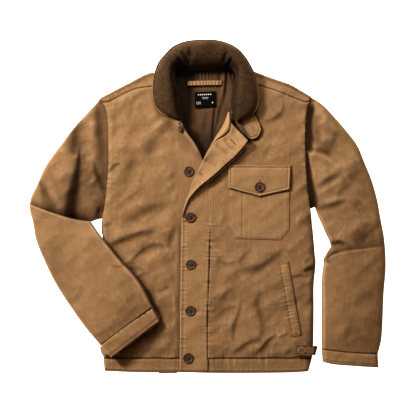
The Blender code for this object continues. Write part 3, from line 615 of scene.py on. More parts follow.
def make_sheet(node, points, wall, finish, closed=False, underside_first=False, painted_shade=None):
    """Makes the cloth of one node. points is a grid (rows, columns, 3) in millimetres."""
    name = node + "_cloth"
    rows, columns = points.shape[:2]
    wear_and_shade = wear_and_shade_of(points, closed)
    across = np.concatenate(
        [np.zeros((rows, 1)), np.cumsum(np.linalg.norm(np.diff(points, axis=1), axis=2), axis=1)], axis=1
    )
    down_run = np.concatenate([
        [0], np.cumsum(np.linalg.norm(np.diff(points[:, columns // 2], axis=0), axis=1))
    ])
    across = across - across[:, columns // 2][:, None]
    used = columns - 1 if closed else columns
    vertices = in_world(points[:, :used]).reshape(-1, 3)
    faces = []
    for row in range(rows - 1):
        base = row * used
        for column in range(columns - 1):
            after = (column + 1) % used
            faces.append((base + column, base + after, base + used + after, base + used + column))
    mesh = bpy.data.meshes.new(name)
    mesh.from_pydata(vertices.tolist(), [], faces)
    corner_uv = np.empty((len(faces), 4, 2))
    grid_row, grid_column = np.meshgrid(np.arange(rows - 1), np.arange(columns - 1), indexing="ij")
    for corner, (dr, dc) in enumerate(((0, 0), (0, 1), (1, 1), (1, 0))):
        corner_uv[:, corner, 0] = across[grid_row + dr, grid_column + dc].ravel() * MM
        corner_uv[:, corner, 1] = down_run[grid_row + dr].ravel() * MM
    layer = mesh.uv_layers.new(name="cloth")
    layer.data.foreach_set("uv", corner_uv.ravel())
    wear_and_shade_layer = mesh.attributes.new("wear_and_shade", "FLOAT", "POINT")
    wear_and_shade_layer.data.foreach_set("value", wear_and_shade[:, :used].ravel().astype(np.float32))
    # Painted shade is stored as its own value, eased so that it only comes close to near-black.
    painted_shade_values = mesh.attributes.new("painted_shade", "FLOAT", "POINT")
    if painted_shade is not None:
        shade = DARKEST * np.tanh(np.maximum(painted_shade[:, :used], 0) / DARKEST)
        painted_shade_values.data.foreach_set("value", shade.ravel().astype(np.float32))
    mesh.update()
    normals = np.empty(len(faces) * 3)
    centres = np.empty(len(faces) * 3)
    mesh.polygons.foreach_get("normal", normals)
    mesh.polygons.foreach_get("center", centres)
    upward, height = normals[2::3], centres[2::3]
    weight = height - height.mean() if closed else np.ones(len(faces))
    if underside_first:
        weight = np.where(np.arange(len(faces)) < used, -1.0, 0.0)
    if (upward * weight).sum() < 0:
        mesh.flip_normals()
    mesh.materials.append(finish)
    piece = bpy.data.objects.new(name, mesh)
    bpy.context.scene.collection.objects.link(piece)
    solidify = piece.modifiers.new("wall", "SOLIDIFY")
    solidify.thickness = wall * MM
    solidify.offset = -1
    select_only(piece)
    bpy.ops.object.modifier_apply(modifier="wall")
    piece.data.shade_smooth()
    piece.select_set(False)
    pieces[node] = piece
    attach(piece, "root")


def make_panel(node, sides, pitch, height, wall, finish, close=(0, 0, 0, 0), eased=(True,) * 4, painted_shade=None):
    lines = [side if isinstance(side, Line) else Line(side, ease) for side, ease in zip(sides, eased)]
    wide = max(lines[2].length, lines[3].length)
    tall = max(lines[0].length, lines[1].length)
    u, v = np.meshgrid(shares(wide, pitch, close[0], close[1]), shares(tall, pitch, close[2], close[3]))
    flat = coons(lines, u, v)
    z = height(flat[..., 0], flat[..., 1])
    dark = painted_shade(flat[..., 0], flat[..., 1]) if painted_shade else None
    make_sheet(node, np.concatenate([flat, z[..., None]], axis=-1), wall, finish, painted_shade=dark)


CORNERED = (False,) * 4  # no side of the piece is eased into a curve


def straight(low_start, low_end, high_start, high_end):
    """The four sides of a piece with straight edges, from its corners."""
    return [[low_start, high_start], [low_end, high_end], [low_start, low_end], [high_start, high_end]]


print("sheet helpers made")

# %% [markdown]
# ## The pattern
# These are the sewn outlines as they lie: side seams, armholes, shoulders, front edges, hem. The
# wall sizes and heights are those of the padded shell: fronts lie on the back, the placket on the
# right front, sleeves stand up with the air that is left in them.

# %% Outlines
BODY_TOP = 16.0
LEFT_TOP = 17.4
PLACKET_TOP = 20.2
RIM = 4.6
SLEEVE_TOP = 23.0
CUFF_TOP = 17.5
OVER_BODY = 21.0
UNDER_LIFT = 6.0  # how far a sleeve's lower layer rises at its sides
SHELL_WALL = 1.8  # body, hem, sleeves, pocket and welt
CUFF_WALL = 2.2
PLACKET_WALL = 3.0
TURN_WALL = 2.6
FACING_WALL = 2.0
WOOL_WALL = 2.8
THIN_WALL = 1.0  # under collar and lining
LOOP_WALL = 1.4
LABEL_WALL = 0.8
FLAP_WALL = 2.4  # flap and left waist tab
THROAT_WALL = 2.0
FRONT_PITCH = 2.7  # grid pitch of the fronts
SLEEVE_PITCH = 2.8
SEAM_SINK = 1.8  # how far a front goes down towards its armhole
DRAG_GAIN_RIGHT = 2.15
DRAG_GAIN_LEFT = 2.05
SIDE_RIGHT = [(-239, -350), (-244, -320), (-243, -200), (-241, -69), (-241, -28)]
ARMHOLE_RIGHT = [
    (-241, -28), (-237.5, -10), (-234, 12), (-231, 43.5), (-227, 95), (-227, 146), (-228.5, 191),
    (-233, 222), (-239.5, 238), (-247.3, 247.7),
]
SIDE_LEFT = [
    (242, -350), (243.5, -340), (245, -317), (246, -238), (246, -181), (250.7, -131), (248.9, -115),
    (243.8, -54), (237.6, -6.4),
]
ARMHOLE_LEFT = [
    (237.6, -6.4), (233.5, 24), (231.6, 48), (228.4, 100), (227.5, 139), (227.5, 172), (228, 205),
    (231, 226), (235.4, 240), (240, 251.6),
]
SHOULDER_EDGE = [
    (-247.3, 247.7), (-213, 266), (-177, 284.7), (-135, 306), (-118.5, 308), (-97, 321), (-72, 337),
    (-13, 338),
    (58, 337), (84, 321), (105.6, 311), (145, 296), (191, 280), (215, 266.5), (240, 251.6),
]
SHOULDER_SEAM = [
    (-240.3, 239.2), (-225, 240.8), (-194, 257), (-163, 270), (-128, 275.3), (-97, 281), (-81, 308),
    (-72, 325), (-13, 325),
    (54, 323), (70, 307), (90, 284), (111.6, 280), (145.4, 269.8), (168, 262), (198.7, 249.6), (227.5, 240),
    (235.8, 241.2),
]
HEM_SEAM_BACK = [(-239, -350), (-120, -351), (1, -351), (120, -350), (242, -350)]
HEM_EDGE = [
    (-236, -380), (-179, -382.5), (-129, -383.6), (-63, -383), (5, -384.6), (120, -384.8), (200, -383.5),
    (233, -381),
]
FRONT_EDGE_RIGHT = [
    (-8, -350), (-8, 60), (-9, 100), (-13, 115), (-21, 131), (-31, 148), (-47, 169), (-60, 197), (-63, 210),
    (-65, 232), (-67, 258), (-73, 272), (-97, 280.4),
]
SHOULDER_SEAM_RIGHT = [
    (-239.5, 238), (-225, 239.6), (-194, 256.3), (-163, 269.3), (-128, 274.6), (-97, 280.4)
]
FRONT_EDGE_LEFT = [
    (2.2, -350), (2.2, -253), (6.6, -135), (8.9, -17), (6.6, 50), (6.5, 130), (13.5, 141), (25.5, 161),
    (41, 186),
    (54, 205), (57, 232), (59, 258), (67, 276), (90, 283.4),
]
SHOULDER_SEAM_LEFT = [
    (90, 283.4), (111.6, 279.3), (145.4, 269.1), (168, 261.3), (198.7, 248.9), (227.5, 238.9), (235.4, 240)
]
side_right = Line(SIDE_RIGHT)
side_left = Line(SIDE_LEFT)
armhole_right = Line(ARMHOLE_RIGHT)
armhole_left = Line(ARMHOLE_LEFT)
hem_edge = Line(HEM_EDGE)
hem_seam = Line([(-240, -350.5), (-120, -350.8), (1, -350.8), (120, -350.5), (242, -350)])
v_edge = Line(FRONT_EDGE_RIGHT[2:9])
shoulder_right = Line(SHOULDER_SEAM_RIGHT)
shoulder_left = Line(SHOULDER_SEAM_LEFT)
print("side seams:", round(side_right.length), round(side_left.length), "mm")

# %% [markdown]
# ## The fronts
# The right front lies flat under the placket and lifts along the open neck edge. The left front
# is higher, because the placket and the right front pass beneath it. Both turn down to the back at
# the side seam, and carry the slanting folds that the arms pull into them.

# %% Front heights
CREASES_RIGHT_FRONT = [
    (5, 3.6, -227.7, 75.9, -216.2, 90.8, -197.8, 100),
    (9, 2.6, -209.3, 243.8, -212.7, 197.8, -216.2, 149.5),
    (8, 2.2, -184, 253, -195.5, 225.4, -204.7, 197.8),
    (8, 2.2, -165.6, 255.3, -174.8, 225.4, -184, 188.6),
    (13, 2.8, -131.1, 179.4, -128.8, 140.3, -135.7, 87.4),
    (12, 2.6, -163.3, 128.8, -177.1, 94.3, -190.9, 32.2),
    (14, 5, -80.5, 16.1, -112.7, 2.3, -154.1, -16.1, -204.7, -46),
    (10, 6, -117.3, -57.5, -154.1, -62.1, -186.3, -74.8, -227.7, -89.7),
    (7.5, 4.6, -92, -90.8, -124.2, -89.7, -147.2, -101.2, -177.1, -126.5),
    (8, 3.6, -59.8, -36.8, -75.9, -57.5, -87.4, -80.5, -85.1, -105.8),
    (5, 2.6, -115, -195.5, -101.2, -190.9, -85.1, -180.5),
    (4, 1.6, -190.9, -129.9, -163.3, -128.8),
    (4, 1.6, -181.7, -140.3, -138, -143.8),
    (4.5, 1.8, -167.9, -167.9, -144.9, -154.1, -126.5, -151.8),
    (12, 2.6, -71.3, -285.2, -85.1, -319.7, -108.1, -335.8),
    (5, 2.2, -239.2, -43.7, -216.2, -37.9),
    (9, 2.4, -80.5, -158.7, -98.9, -128.8, -94.3, -101.2),
    (14, 2.2, -108.1, -216.2, -85.1, -250.7, -80.5, -285.2),
]
CREASES_LEFT_FRONT = [
    (6, 3.6, 25.3, -110.4, 21.8, -135.7, 14.9, -165.6),
    (6, 3, 32.2, -126.5, 50.6, -132.2, 66.7, -125.3),
    (11, 5, 170.2, -101.2, 149.5, -121.9, 121.9, -140.3, 75.9, -147.2),
    (10, 3.6, 71.3, -158.7, 52.9, -186.3, 25.3, -220.8, 4.6, -248.4),
    (10, 4.6, 119.6, -193.2, 113.8, -227.7, 124.2, -262.2, 126.5, -285.2, 108.1, -315.1),
    (6, 3.2, 78.2, -211.6, 71.3, -243.8, 59.8, -280.6, 57.5, -315.1),
    (6, 2.6, 11.5, -262.2, 34.5, -241.5, 71.3, -226.5),
    (7.5, 6, 101.2, -350.8, 121.9, -331.2, 140.3, -308.2, 161, -294.4),
    (8, 4.2, 57.5, -340.4, 82.8, -322, 103.5, -310.5, 128.8, -303.6),
    (4.5, 3, 173.6, -350.8, 184, -338.1, 193.2, -330),
    (4.5, 2.2, 161, -302.4, 190.9, -289.8),
    (6, 4.6, 220.8, -148.3, 234.6, -142.6, 255.3, -138),
    (4.5, 2.6, 190.9, -163.3, 211.6, -158.7, 234.6, -161),
    (6, 2.2, 220.8, -128.8, 241.5, -117.3),
    (4.5, 2.4, 13.8, -299, 14.9, -319.7, 18.4, -340.4),
    (8, 3.4, 177.1, 243.8, 170.2, 213.9, 149.5, 200.1, 121.9, 195.5),
    (8, 2.6, 147.2, 144.9, 135.7, 124.2, 126.5, 103.5),
    (7, 2.2, 98.9, 161, 112.7, 179.4, 126.5, 188.6),
    (9, 2.8, 103.5, -98.9, 82.8, -115, 66.7, -133.4),
    (8, 2.4, 204.7, -193.2, 225.4, -179.4, 246.1, -177.1),
    (12, 2.2, 167.9, -216.2, 144.9, -243.8, 135.7, -285.2),
]


def edge_drop(x, y, side, armpit, top, radius):
    drop = smooth((armpit - y) / 45)
    off = side.near(x, y)[0]
    return top - (top - RIM) * drop * (1 - quarter(off, radius)) - 5.0 * drop * np.exp(-off / 22)


def right_top(x, y, detail=1.0):
    clear = smooth((-66 - x) / 26) * smooth((y + 356) / 40)
    height = BODY_TOP + 1.6 * clear - DRAG_GAIN_RIGHT * clear * creases(CREASES_RIGHT_FRONT, x, y)
    height = height - SEAM_SINK * fading(armhole_right, x, y, 7)
    height = height - 3.0 * smooth((-322 - y) / 30)
    near = v_edge.near(x, y)[0]
    fade = smooth((y - 104) / 26) * smooth((204 - y) / 24)
    stand = 3.0 + 15.0 * smooth((y - 95) / 85)
    height = height + np.where(y > 60, fade * (stand * dip(near, 12) - 3.0 * dip(near - 26, 10)), 0)
    open_cloth = smooth((-66 - x) / 12) * detail
    height = height + open_cloth * (
        1.5 * cloth_unevenness(x, y, 3)
        + puckers(hem_seam, x, y, 11, 13, 1.3, 1)
        + puckers(armhole_right, x, y, 13, 13, 0.8, 2)
        + puckers(shoulder_right, x, y, 12, 9, 0.6, 3)
    )
    return edge_drop(x, y, side_right, -28, height, 9.0)


def left_top(x, y, detail=1.0):
    clear = smooth((x - 14) / 30) * smooth((y + 356) / 40)
    pocket = 1 - (1 - smooth((np.abs(x - 119) - 70) / 22)) * smooth((y + 104) / 24) * smooth((118 - y) / 20)
    height = LEFT_TOP + 1.2 * clear - DRAG_GAIN_LEFT * clear * pocket * creases(CREASES_LEFT_FRONT, x, y)
    height = (
        height + (PLACKET_TOP - 1.2 - LEFT_TOP) * (1 - smooth((x - 4) / 34)) * (1 - smooth((y - 40) / 40))
    )
    height = height - SEAM_SINK * fading(armhole_left, x, y, 7)
    height = height - 3.2 * smooth((-322 - y) / 30) * smooth((x - 2) / 40)
    height = height + detail * (
        1.4 * cloth_unevenness(x, y, 8) * (0.35 + 0.65 * pocket)
        + puckers(hem_seam, x, y, 11, 13, 1.4, 4)
        + puckers(armhole_left, x, y, 13, 12, 0.7, 5)
        + puckers(shoulder_left, x, y, 12, 9, 0.6, 6)
        + puckers(placket_seam, x, y, 10, 14, 1.5, 7)
        + puckers(welt_left_line, x, y, 9.5, 12, 1.3, 9) * (0.3 + 0.7 * (x < 205))
    )
    return edge_drop(x, y, side_left, -6, height, 24.0)


def sunk(edges, top, amount=1.1, reach=2.2):
    """The same surface, let down along sewn edges so that each seam shows as a valley."""

    def height(x, y):
        low = top(x, y)
        for edge in edges:
            low = low - amount * np.exp(-((edge.near(x, y)[0] / reach) ** 2))
        return low

    return height


welt_mouth = Line([(186.5, -129.5), (216, -295.6)])
welt_left_line = Line([(165.4, -132), (194.8, -299.7)])
placket_seam = Line([(1.6, -350), (1.6, -253), (6, -135), (8.3, -17), (6, 50), (5.5, 128)])

TURN_EDGE = [
    (-56.8, -25), (-44, 14), (-31, 31), (-16, 46), (4, 62), (22, 76.6), (36, 89.7), (52.7, 103.7),
    (64.4, 114.8), (79, 131), (93.6, 150),
]
turn_edge = Line(TURN_EDGE)
tab_line = Line([(90, 158), (96.5, 154.6), (107, 153), (118, 160), (124.5, 176), (120, 189), (108.6, 211)])
tab_gap = Line([(58, 194), (76, 172), (92, 152)])
collar_line = Line([(108, 214), (114, 235), (116.4, 255), (112, 290), (108, 312)])
collar_line_right = Line([(-58, 199.5), (-88, 206.5), (-103, 214), (-113.5, 226), (-120, 244)])
arm_line = Line([
    (-240, -72), (-224, -93), (-198, -125), (-173, -151), (-149.5, -182), (-125.4, -230.4), (-109, -262.5),
    (-165, -307), (-219, -347),
])


# Painted shade on the right front: the forearm's cast shadow, shadow under the collar's end and along the
# open neck edge, and shade beside the placket's edge, along the drag lines and the hem seam.
def right_front_painted_shade(x, y):
    off, along, side = arm_line.near(x, y)
    arm = (0.45 + 0.45 * smooth(along / 200)) * np.exp(-((off / 11) ** 1.4)) * (side > 0)
    neck = 0.55 * beside(collar_line_right, x, y, 5) + 0.4 * beside(v_edge, x, y, 1.6)
    edge = 0.4 * dip(x + 65 + 3 * lumps(x, y, 60, 4), 4) * smooth((-20 - y) / 40)
    return drag_shade(CREASES_RIGHT_FRONT, x, y) + edge + arm + neck + 0.3 * fading(hem_seam, x, y, 3)


# Painted shade on the left front: the shadows of the folded-back top, the throat tab, the collar and the
# pocket flap, dark lines at the welt, and shade along the lower side seam, the drag lines and the hem seam.
def left_front_painted_shade(x, y):
    lapel = 0.8 * beside(turn_edge, x, y, 5.5)
    tab = 0.75 * beside(tab_line, x, y, 4.5) + beside(tab_gap, x, y, 6)
    collar = 0.6 * fading(collar_line, x, y, 11)
    flap = 0.8 * dip(np.maximum(x - 191, 0), 4) * smooth((x - 186) / 3) * smooth(
        (y - 36) / 6
    ) * smooth((94 - y) / 6)
    welt = 0.85 * beside(welt_mouth, x, y, 2.2) + 0.3 * beside(welt_left_line, x, y, 2.0)
    side = welt + 0.75 * fading(side_left, x, y, 6) * smooth((-40 - y) / 60)
    return (
        drag_shade(CREASES_LEFT_FRONT, x, y) + lapel + tab + collar + flap + side
        + 0.3 * fading(hem_seam, x, y, 3)
    )


# %% [markdown]
# Each front is cut as one panel between its four edges. The grid is close enough for a ripple of
# one centimetre, and closer still where it turns down to the side seam.

# %% Front panels
make_panel(
    "front_right",
    [
        SIDE_RIGHT + ARMHOLE_RIGHT[1:-1], FRONT_EDGE_RIGHT, [(-239, -349.8), (-120, -350.4), (-8, -350)],
        SHOULDER_SEAM_RIGHT,
    ],
    FRONT_PITCH, sunk([armhole_right, hem_seam, shoulder_right], right_top), SHELL_WALL, canvas,
    close=(1, 0, 0, 0),
    painted_shade=right_front_painted_shade,
)
make_panel(
    "front_left",
    [
        FRONT_EDGE_LEFT, SIDE_LEFT + ARMHOLE_LEFT[1:-1], [(2.2, -350), (120, -349.6), (242, -349.6)],
        SHOULDER_SEAM_LEFT,
    ],
    FRONT_PITCH, sunk([armhole_left, hem_seam, shoulder_left], left_top), SHELL_WALL, canvas,
    close=(0, 1, 0, 0),
    painted_shade=left_front_painted_shade,
)

# %% [markdown]
# ## The back
# The back is one panel. It lies on the table, turns over at the shoulders and comes forward to the
# seams that sit in front of them, so its rows run flat, then round, then forward.

# %% Back panel


def shoulder_top(x, y):
    neck = smooth((np.abs(x + 6) - 72) / 26)
    side = np.where(x < 0, right_top(x, y), left_top(x, y))
    return 10.0 + (side - 10.0) * neck


def make_back():
    sides = [
        Line(SIDE_RIGHT + ARMHOLE_RIGHT[1:]), Line(SIDE_LEFT + ARMHOLE_LEFT[1:]), Line(HEM_SEAM_BACK),
        Line(SHOULDER_EDGE),
    ]
    seam = Line(SHOULDER_SEAM)
    u = np.linspace(0, 1, 171)
    rows = []
    for level in np.linspace(0, 0.945, 90):
        flat = coons(sides, u, np.full_like(u, level))
        quilt = 0.35 * cloth_unevenness(flat[:, 0], flat[:, 1], 21)
        rows.append(np.column_stack([flat, 0.9 + quilt - 0.35 * 1.4]))
    outline, forward = sides[3].at(u), seam.at(u)
    span = np.linalg.norm(forward - outline, axis=1)[:, None]
    turn = np.minimum(5.0, span * 0.6)
    towards = (forward - outline) / span
    full = shoulder_top(forward[:, 0], forward[:, 1])
    rows.append(np.column_stack([outline + towards * turn * 1.4, np.full_like(u, 0.1)]))
    for angle in np.radians(np.linspace(-90, 90, 13)):
        flat = outline + towards * turn * (1 - math.cos(angle))
        rows.append(np.column_stack([flat, full / 2 * (1 + math.sin(angle))]))
    for part in np.linspace(0, 1, 17)[1:]:
        flat = (outline + towards * turn) * (1 - part) + forward * part
        raised = shoulder_top(flat[:, 0], flat[:, 1])
        height = full + (raised - full) * smooth(part / 0.4)
        roll = 1.0 * dip(shoulder_right.near(flat[:, 0], flat[:, 1])[0], 2.2)
        roll = roll + 1.0 * dip(shoulder_left.near(flat[:, 0], flat[:, 1])[0], 2.2)
        rows.append(np.column_stack([flat, height - roll]))
    # Painted shade on the rows where the back turns over at the shoulders.
    painted_shade_values = np.zeros((len(rows), len(u)))
    painted_shade_values[91:106] = 0.5
    make_sheet("back", np.array(rows), SHELL_WALL, canvas, underside_first=True, painted_shade=painted_shade_values)


make_back()

# %% [markdown]
# ## The hem
# The hem is a band of its own, sewn on all round and stitched again near its edge. The two rows
# of stitching draw it into short upright ripples.

# %% Hem bands
HEM_SEEDS = (11, 12)
hem_stitch = Line([
    (-234, -376.5), (-179, -378.5), (-129, -379.3), (-63, -379), (5, -380.2), (120, -380.4), (200, -379.3),
    (231, -377),
])


def hem_height(top, seed):
    def height(x, y):
        raised = RIM + (top(x, y) - RIM) * quarter(hem_edge.near(x, y)[0], 9)
        shape = smooth(hem_edge.near(x, y)[0] / 5)
        ripple = (
            puckers(hem_stitch, x, y, 9.5, 16, 1.2, seed) + puckers(hem_seam, x, y, 11, 12, 1.3, seed + 1)
        )
        groove = 0.9 * beside(hem_stitch, x, y, 1.8) + 1.0 * beside(hem_seam, x, y, 2.2)
        return raised + shape * (ripple + 0.4 * cloth_unevenness(x, y, seed) - groove)

    return height


# Painted shade along both rows of stitching and towards the hem's end at the left side seam.
def hem_painted_shade(x, y):
    return (
        0.4 * beside(hem_stitch, x, y, 1.3) + 0.4 * beside(hem_seam, x, y, 2.5)
        + 0.5 * smooth((x - 225) / 14)
    )


def hem_right_top(x, y):
    inside = np.maximum(right_top(x, np.maximum(y, -349.0), 0.3) - 1.0 * smooth((-350 - y) / 20), 9.2)
    return np.where(x > -232, inside, right_top(x, -349.0 + 0 * y, 0.3))


def hem_left_top(x, y):
    return left_top(x, np.maximum(y, -349.0), 0.3)


make_panel(
    "hem_front_right",
    [[(-236, -380), (-239, -350.9)], [(-8, -383.6), (-8, -350.9)],
     [(-236, -380), (-179, -382.5), (-129, -383.6), (-63, -383), (-8, -383.6)],
     [(-239, -350.9), (-8, -350.9)]],
    2.5, hem_height(hem_right_top, HEM_SEEDS[0]), SHELL_WALL, canvas, close=(1, 0, 1, 0), painted_shade=hem_painted_shade,
)
make_panel(
    "hem_front_left",
    [[(2.2, -384.5), (2.2, -350.9)], [(233, -381), (242, -349.8)],
     [(2.2, -384.5), (120, -384.8), (200, -383.5), (233, -381)],
     [(2.2, -350.9), (120, -350.6), (242, -349.8)]],
    2.5, hem_height(hem_left_top, HEM_SEEDS[1]), SHELL_WALL, canvas, close=(0, 1, 1, 0), painted_shade=hem_painted_shade,
)
make_panel(
    "hem_back",
    [[(-236, -380), (-239, -350.6), (-239, -345)], [(233, -381), (241.8, -350.6), (242.5, -345)], HEM_EDGE,
     [(-239, -345), (-120, -346), (1, -346), (120, -346), (242.5, -345)]],
    4.0, lambda x, y: 4.4 + 0.2 * lumps(x, y, 20, 3), SHELL_WALL, canvas,
)

# %% [markdown]
# ## The placket
# The buttonhole band runs down the left front edge. It is sewn close to both its edges, and each
# buttonhole holds it down a little, so it ripples most between the buttons. Its top is folded back
# and is a piece of its own.

# %% Placket
PLACKET_EDGE = [
    (-63, -377), (-61, -186), (-59, -68), (-57.5, -10), (-54.5, -4), (-48.2, 14), (-42, 27), (-33, 54),
    (-21, 79), (-6.6, 110), (0.5, 123),
]
PLACKET_SEAM_SIDE = [(1.9, -381), (1.9, -253), (6.3, -135), (8.6, -17), (6.3, 50), (5.7, 126)]
placket_edge = Line(PLACKET_EDGE)
placket_stitch = Line([(x + 8, y) for x, y in PLACKET_EDGE])
button_spots = [(-41.9, 79.6), (-38, -26), (-37.3, -134.3), (-38.2, -240.4), (-43.2, -348.7)]


def placket_top(x, y):
    height = PLACKET_TOP - 0.8 * np.exp(-np.abs(x - 5) / 5) - 3.0 * smooth((-372 - y) / 14)
    height = (
        height + puckers(placket_stitch, x, y, 6.8, 7, 1.2, 31, 0.6)
        + puckers(placket_stitch, x, y, 17, 16, 0.9, 32) + puckers(placket_seam, x, y, 10, 12, 1.5, 7)
    )
    height = (
        height - 0.8 * beside(placket_stitch, x, y, 1.5) - 0.9 * beside(placket_seam, x, y, 2.0)
        + 0.9 * dip(placket_edge.near(x, y)[0] - 1.8, 1.5)
    )
    for bx, by in button_spots[1:]:
        height = height - 1.3 * np.exp(-(((x - bx - 8) / 17) ** 2) - ((y - by) / 6) ** 2)
    height = height + 0.8 * cloth_unevenness(x, y, 33)
    meet = np.exp(-((placket_seam.near(x, y)[0] / 2.2) ** 2))
    return height * (1 - meet) + (left_top(x, y) + 0.1) * meet


# Painted shade under the free edge of the folded-back top and along the placket seam.
def placket_painted_shade(x, y):
    lapel = 0.7 * beside(turn_edge, x, y, 5) * smooth((y + 40) / 30)
    return lapel + 0.35 * beside(placket_seam, x, y, 1.0)


make_panel(
    "placket",
    [PLACKET_EDGE, PLACKET_SEAM_SIDE, [(-63, -377), (-40, -380.5), (1.9, -381)], [(0.5, 123), (5.7, 126)]],
    1.9, placket_top, PLACKET_WALL, canvas_trim_finish, painted_shade=placket_painted_shade,
)

# %% [markdown]
# ## The top of the placket, folded back
# Above the third button the placket falls open. It is folded along a slanting line and lies on
# the left front like a lapel: low along the fold, springing up along the free edge, which throws
# the darkest shadow of the front; the front and the placket carry it as painted shadow too.

# %% Turned-back placket
TURN_FOLD = [
    (-57.5, -22), (-55, -10), (-49, 11.5), (-43, 25.5), (-34, 53), (-22, 78), (-7.6, 109), (5.8, 134),
    (11, 139.5), (23, 151), (40, 159.6), (51.8, 171), (55.5, 189.5),
]
FACING_FOLD = [(7, 137.5), (22, 163), (37, 187), (44.5, 206), (48.5, 216.5)]
FACING_EDGE = [(8.8, 138.4), (22.3, 152.6), (38.9, 161.2), (50.2, 172.2), (53.4, 190), (50.8, 214)]
turn_fold = Line(TURN_FOLD)
turn_stitch = Line([
    (-40, 12), (-28, 28.5), (-13, 43), (7, 59), (24.5, 73.4), (38.6, 86.4), (55, 100.4), (66.7, 111.6),
    (81.5, 127.5), (93, 144),
])
facing_fold = Line(FACING_FOLD)
TURN_RIPPLES = [
    (22, 140, 46, 118, 7, 2.4),
    (-2, 108, 22, 90, 8, 2.0),
    (40, 152, 62, 128, 6, 2.0),
    (-24, 74, 0, 60, 7, 1.0),
    (58, 172, 76, 146, 5, 1.0),
]


def turned_top(x, y):
    from_fold = turn_fold.near(x, y)[0]
    share = from_fold / np.maximum(from_fold + turn_edge.near(x, y)[0], 0.01)
    up = smooth((y + 26) / 90)
    height = 24.3 + up * (1.0 + 8.5 * share * share) - 2.2 * (1 - quarter(from_fold, 6)) * up
    height = height - 1.5 * up * folds(TURN_RIPPLES, x, y) + up * 1.2 * cloth_unevenness(x, y, 41)
    ripple = puckers(turn_edge, x, y, 9, 11, 1.2, 42) - 1.1 * beside(turn_stitch, x, y, 1.5)
    return height + smooth((y + 10) / 40) * ripple


def facing_top(x, y):
    return (
        24.0 + 2.0 * smooth((y - 140) / 50) - 3.0 * (
            1 - quarter(facing_fold.near(x, y)[0], 6)
        ) + 0.3 * cloth_unevenness(x, y, 43)
    )


make_panel(
    "placket_turnback",
    [TURN_FOLD, TURN_EDGE, [(-57.5, -22), (-56.8, -25)], [(55.5, 189.5), (93.6, 150)]],
    1.6, turned_top, TURN_WALL, canvas_trim_finish, close=(1, 0, 0, 0),
)
make_panel(
    "facing_turnback",
    [FACING_FOLD, FACING_EDGE, [(7, 137.5), (8.8, 138.4)], [(48.5, 216.5), (50.8, 214)]],
    1.8, facing_top, FACING_WALL, canvas_pale,
)

# %% [markdown]
# ## The sleeves
# A sleeve is a tube pressed nearly flat. Rows run across it from the outer fold to the inner seam
# and back underneath. The first rows bend to the armhole, the last to the cuff seam. The right
# sleeve is bent at the elbow, where the cloth breaks into a deep crease, and its lower half climbs
# on to the front of the body.

# %% Sleeve helper
LEFT_SLEEVE_OUT = [
    (240.8, 251.6), (266.6, 235), (299, 200), (325, 168), (346.6, 138.7), (363, 99.6), (379.5, 58.7),
    (391.7, 15.4),
    (400, -30), (408.5, -78), (411.7, -138), (407, -201.5), (402, -304), (393.5, -340.5),
]
LEFT_SLEEVE_IN = [
    (238.2, -6), (245, -4), (250.7, -2.3), (255, -15), (259, -27), (271, -57.5), (286, -98), (270.5, -117),
    (268, -136),
    (264.5, -164.5), (263.6, -222), (263.6, -328),
]
RIGHT_SLEEVE_OUT = [(-248.6, 247.7), (-297, 193), (-331, 148), (-368.5, 97), (-389, 54), (-408.5, 6)]
RIGHT_SLEEVE_IN = [(-242, -28.6), (-250, -30), (-268, -36)]
RIGHT_FOREARM_OUT = [
    (-408.5, 6), (-400, -42), (-394, -76), (-379, -114.5), (-350, -175), (-316, -228), (-280, -277),
    (-244, -318.5),
]
RIGHT_FOREARM_IN = [
    (-268, -36), (-244, -68.5), (-224, -93), (-198, -125), (-173, -151), (-149.5, -182), (-125.4, -230.4)
]


class Bent:
    """One side of a bent sleeve: two runs that meet at the elbow, at a fixed share."""

    def __init__(self, upper, fore, join=0.45):
        self.upper, self.fore, self.join = upper, fore, join
        self.length = upper.length + fore.length

    def at(self, share):
        share = np.asarray(share, float)
        low = self.upper.at(np.clip(share / self.join, 0, 1))
        high = self.fore.at(np.clip((share - self.join) / (1 - self.join), 0, 1))
        return np.where((share <= self.join)[..., None], low, high)


def ring_of(width, pitch):
    """Shares over the top from edge to edge, then back underneath, with the true distance to the edge."""
    close = [0.0, 0.12, 0.5, 1.2, 2.3, 3.9, 6.0, 8.6, 11.6]
    middle = list(np.linspace(14.6, width - 14.6, max(int((width - 29.2) / pitch), 4) + 1))
    top = [d / width for d in close + middle] + [1 - d / width for d in reversed(close)]
    low = [0.12, 0.6, 1.6, 3.4, 6.0, 9.0]
    under = (
        [1 - d / width for d in low] + list(np.linspace(0.9, 0.1, 14)) + [d / width for d in reversed(low)]
    )
    return np.array(top + under + [0.0]), np.array([True] * len(top) + [False] * len(under) + [True])


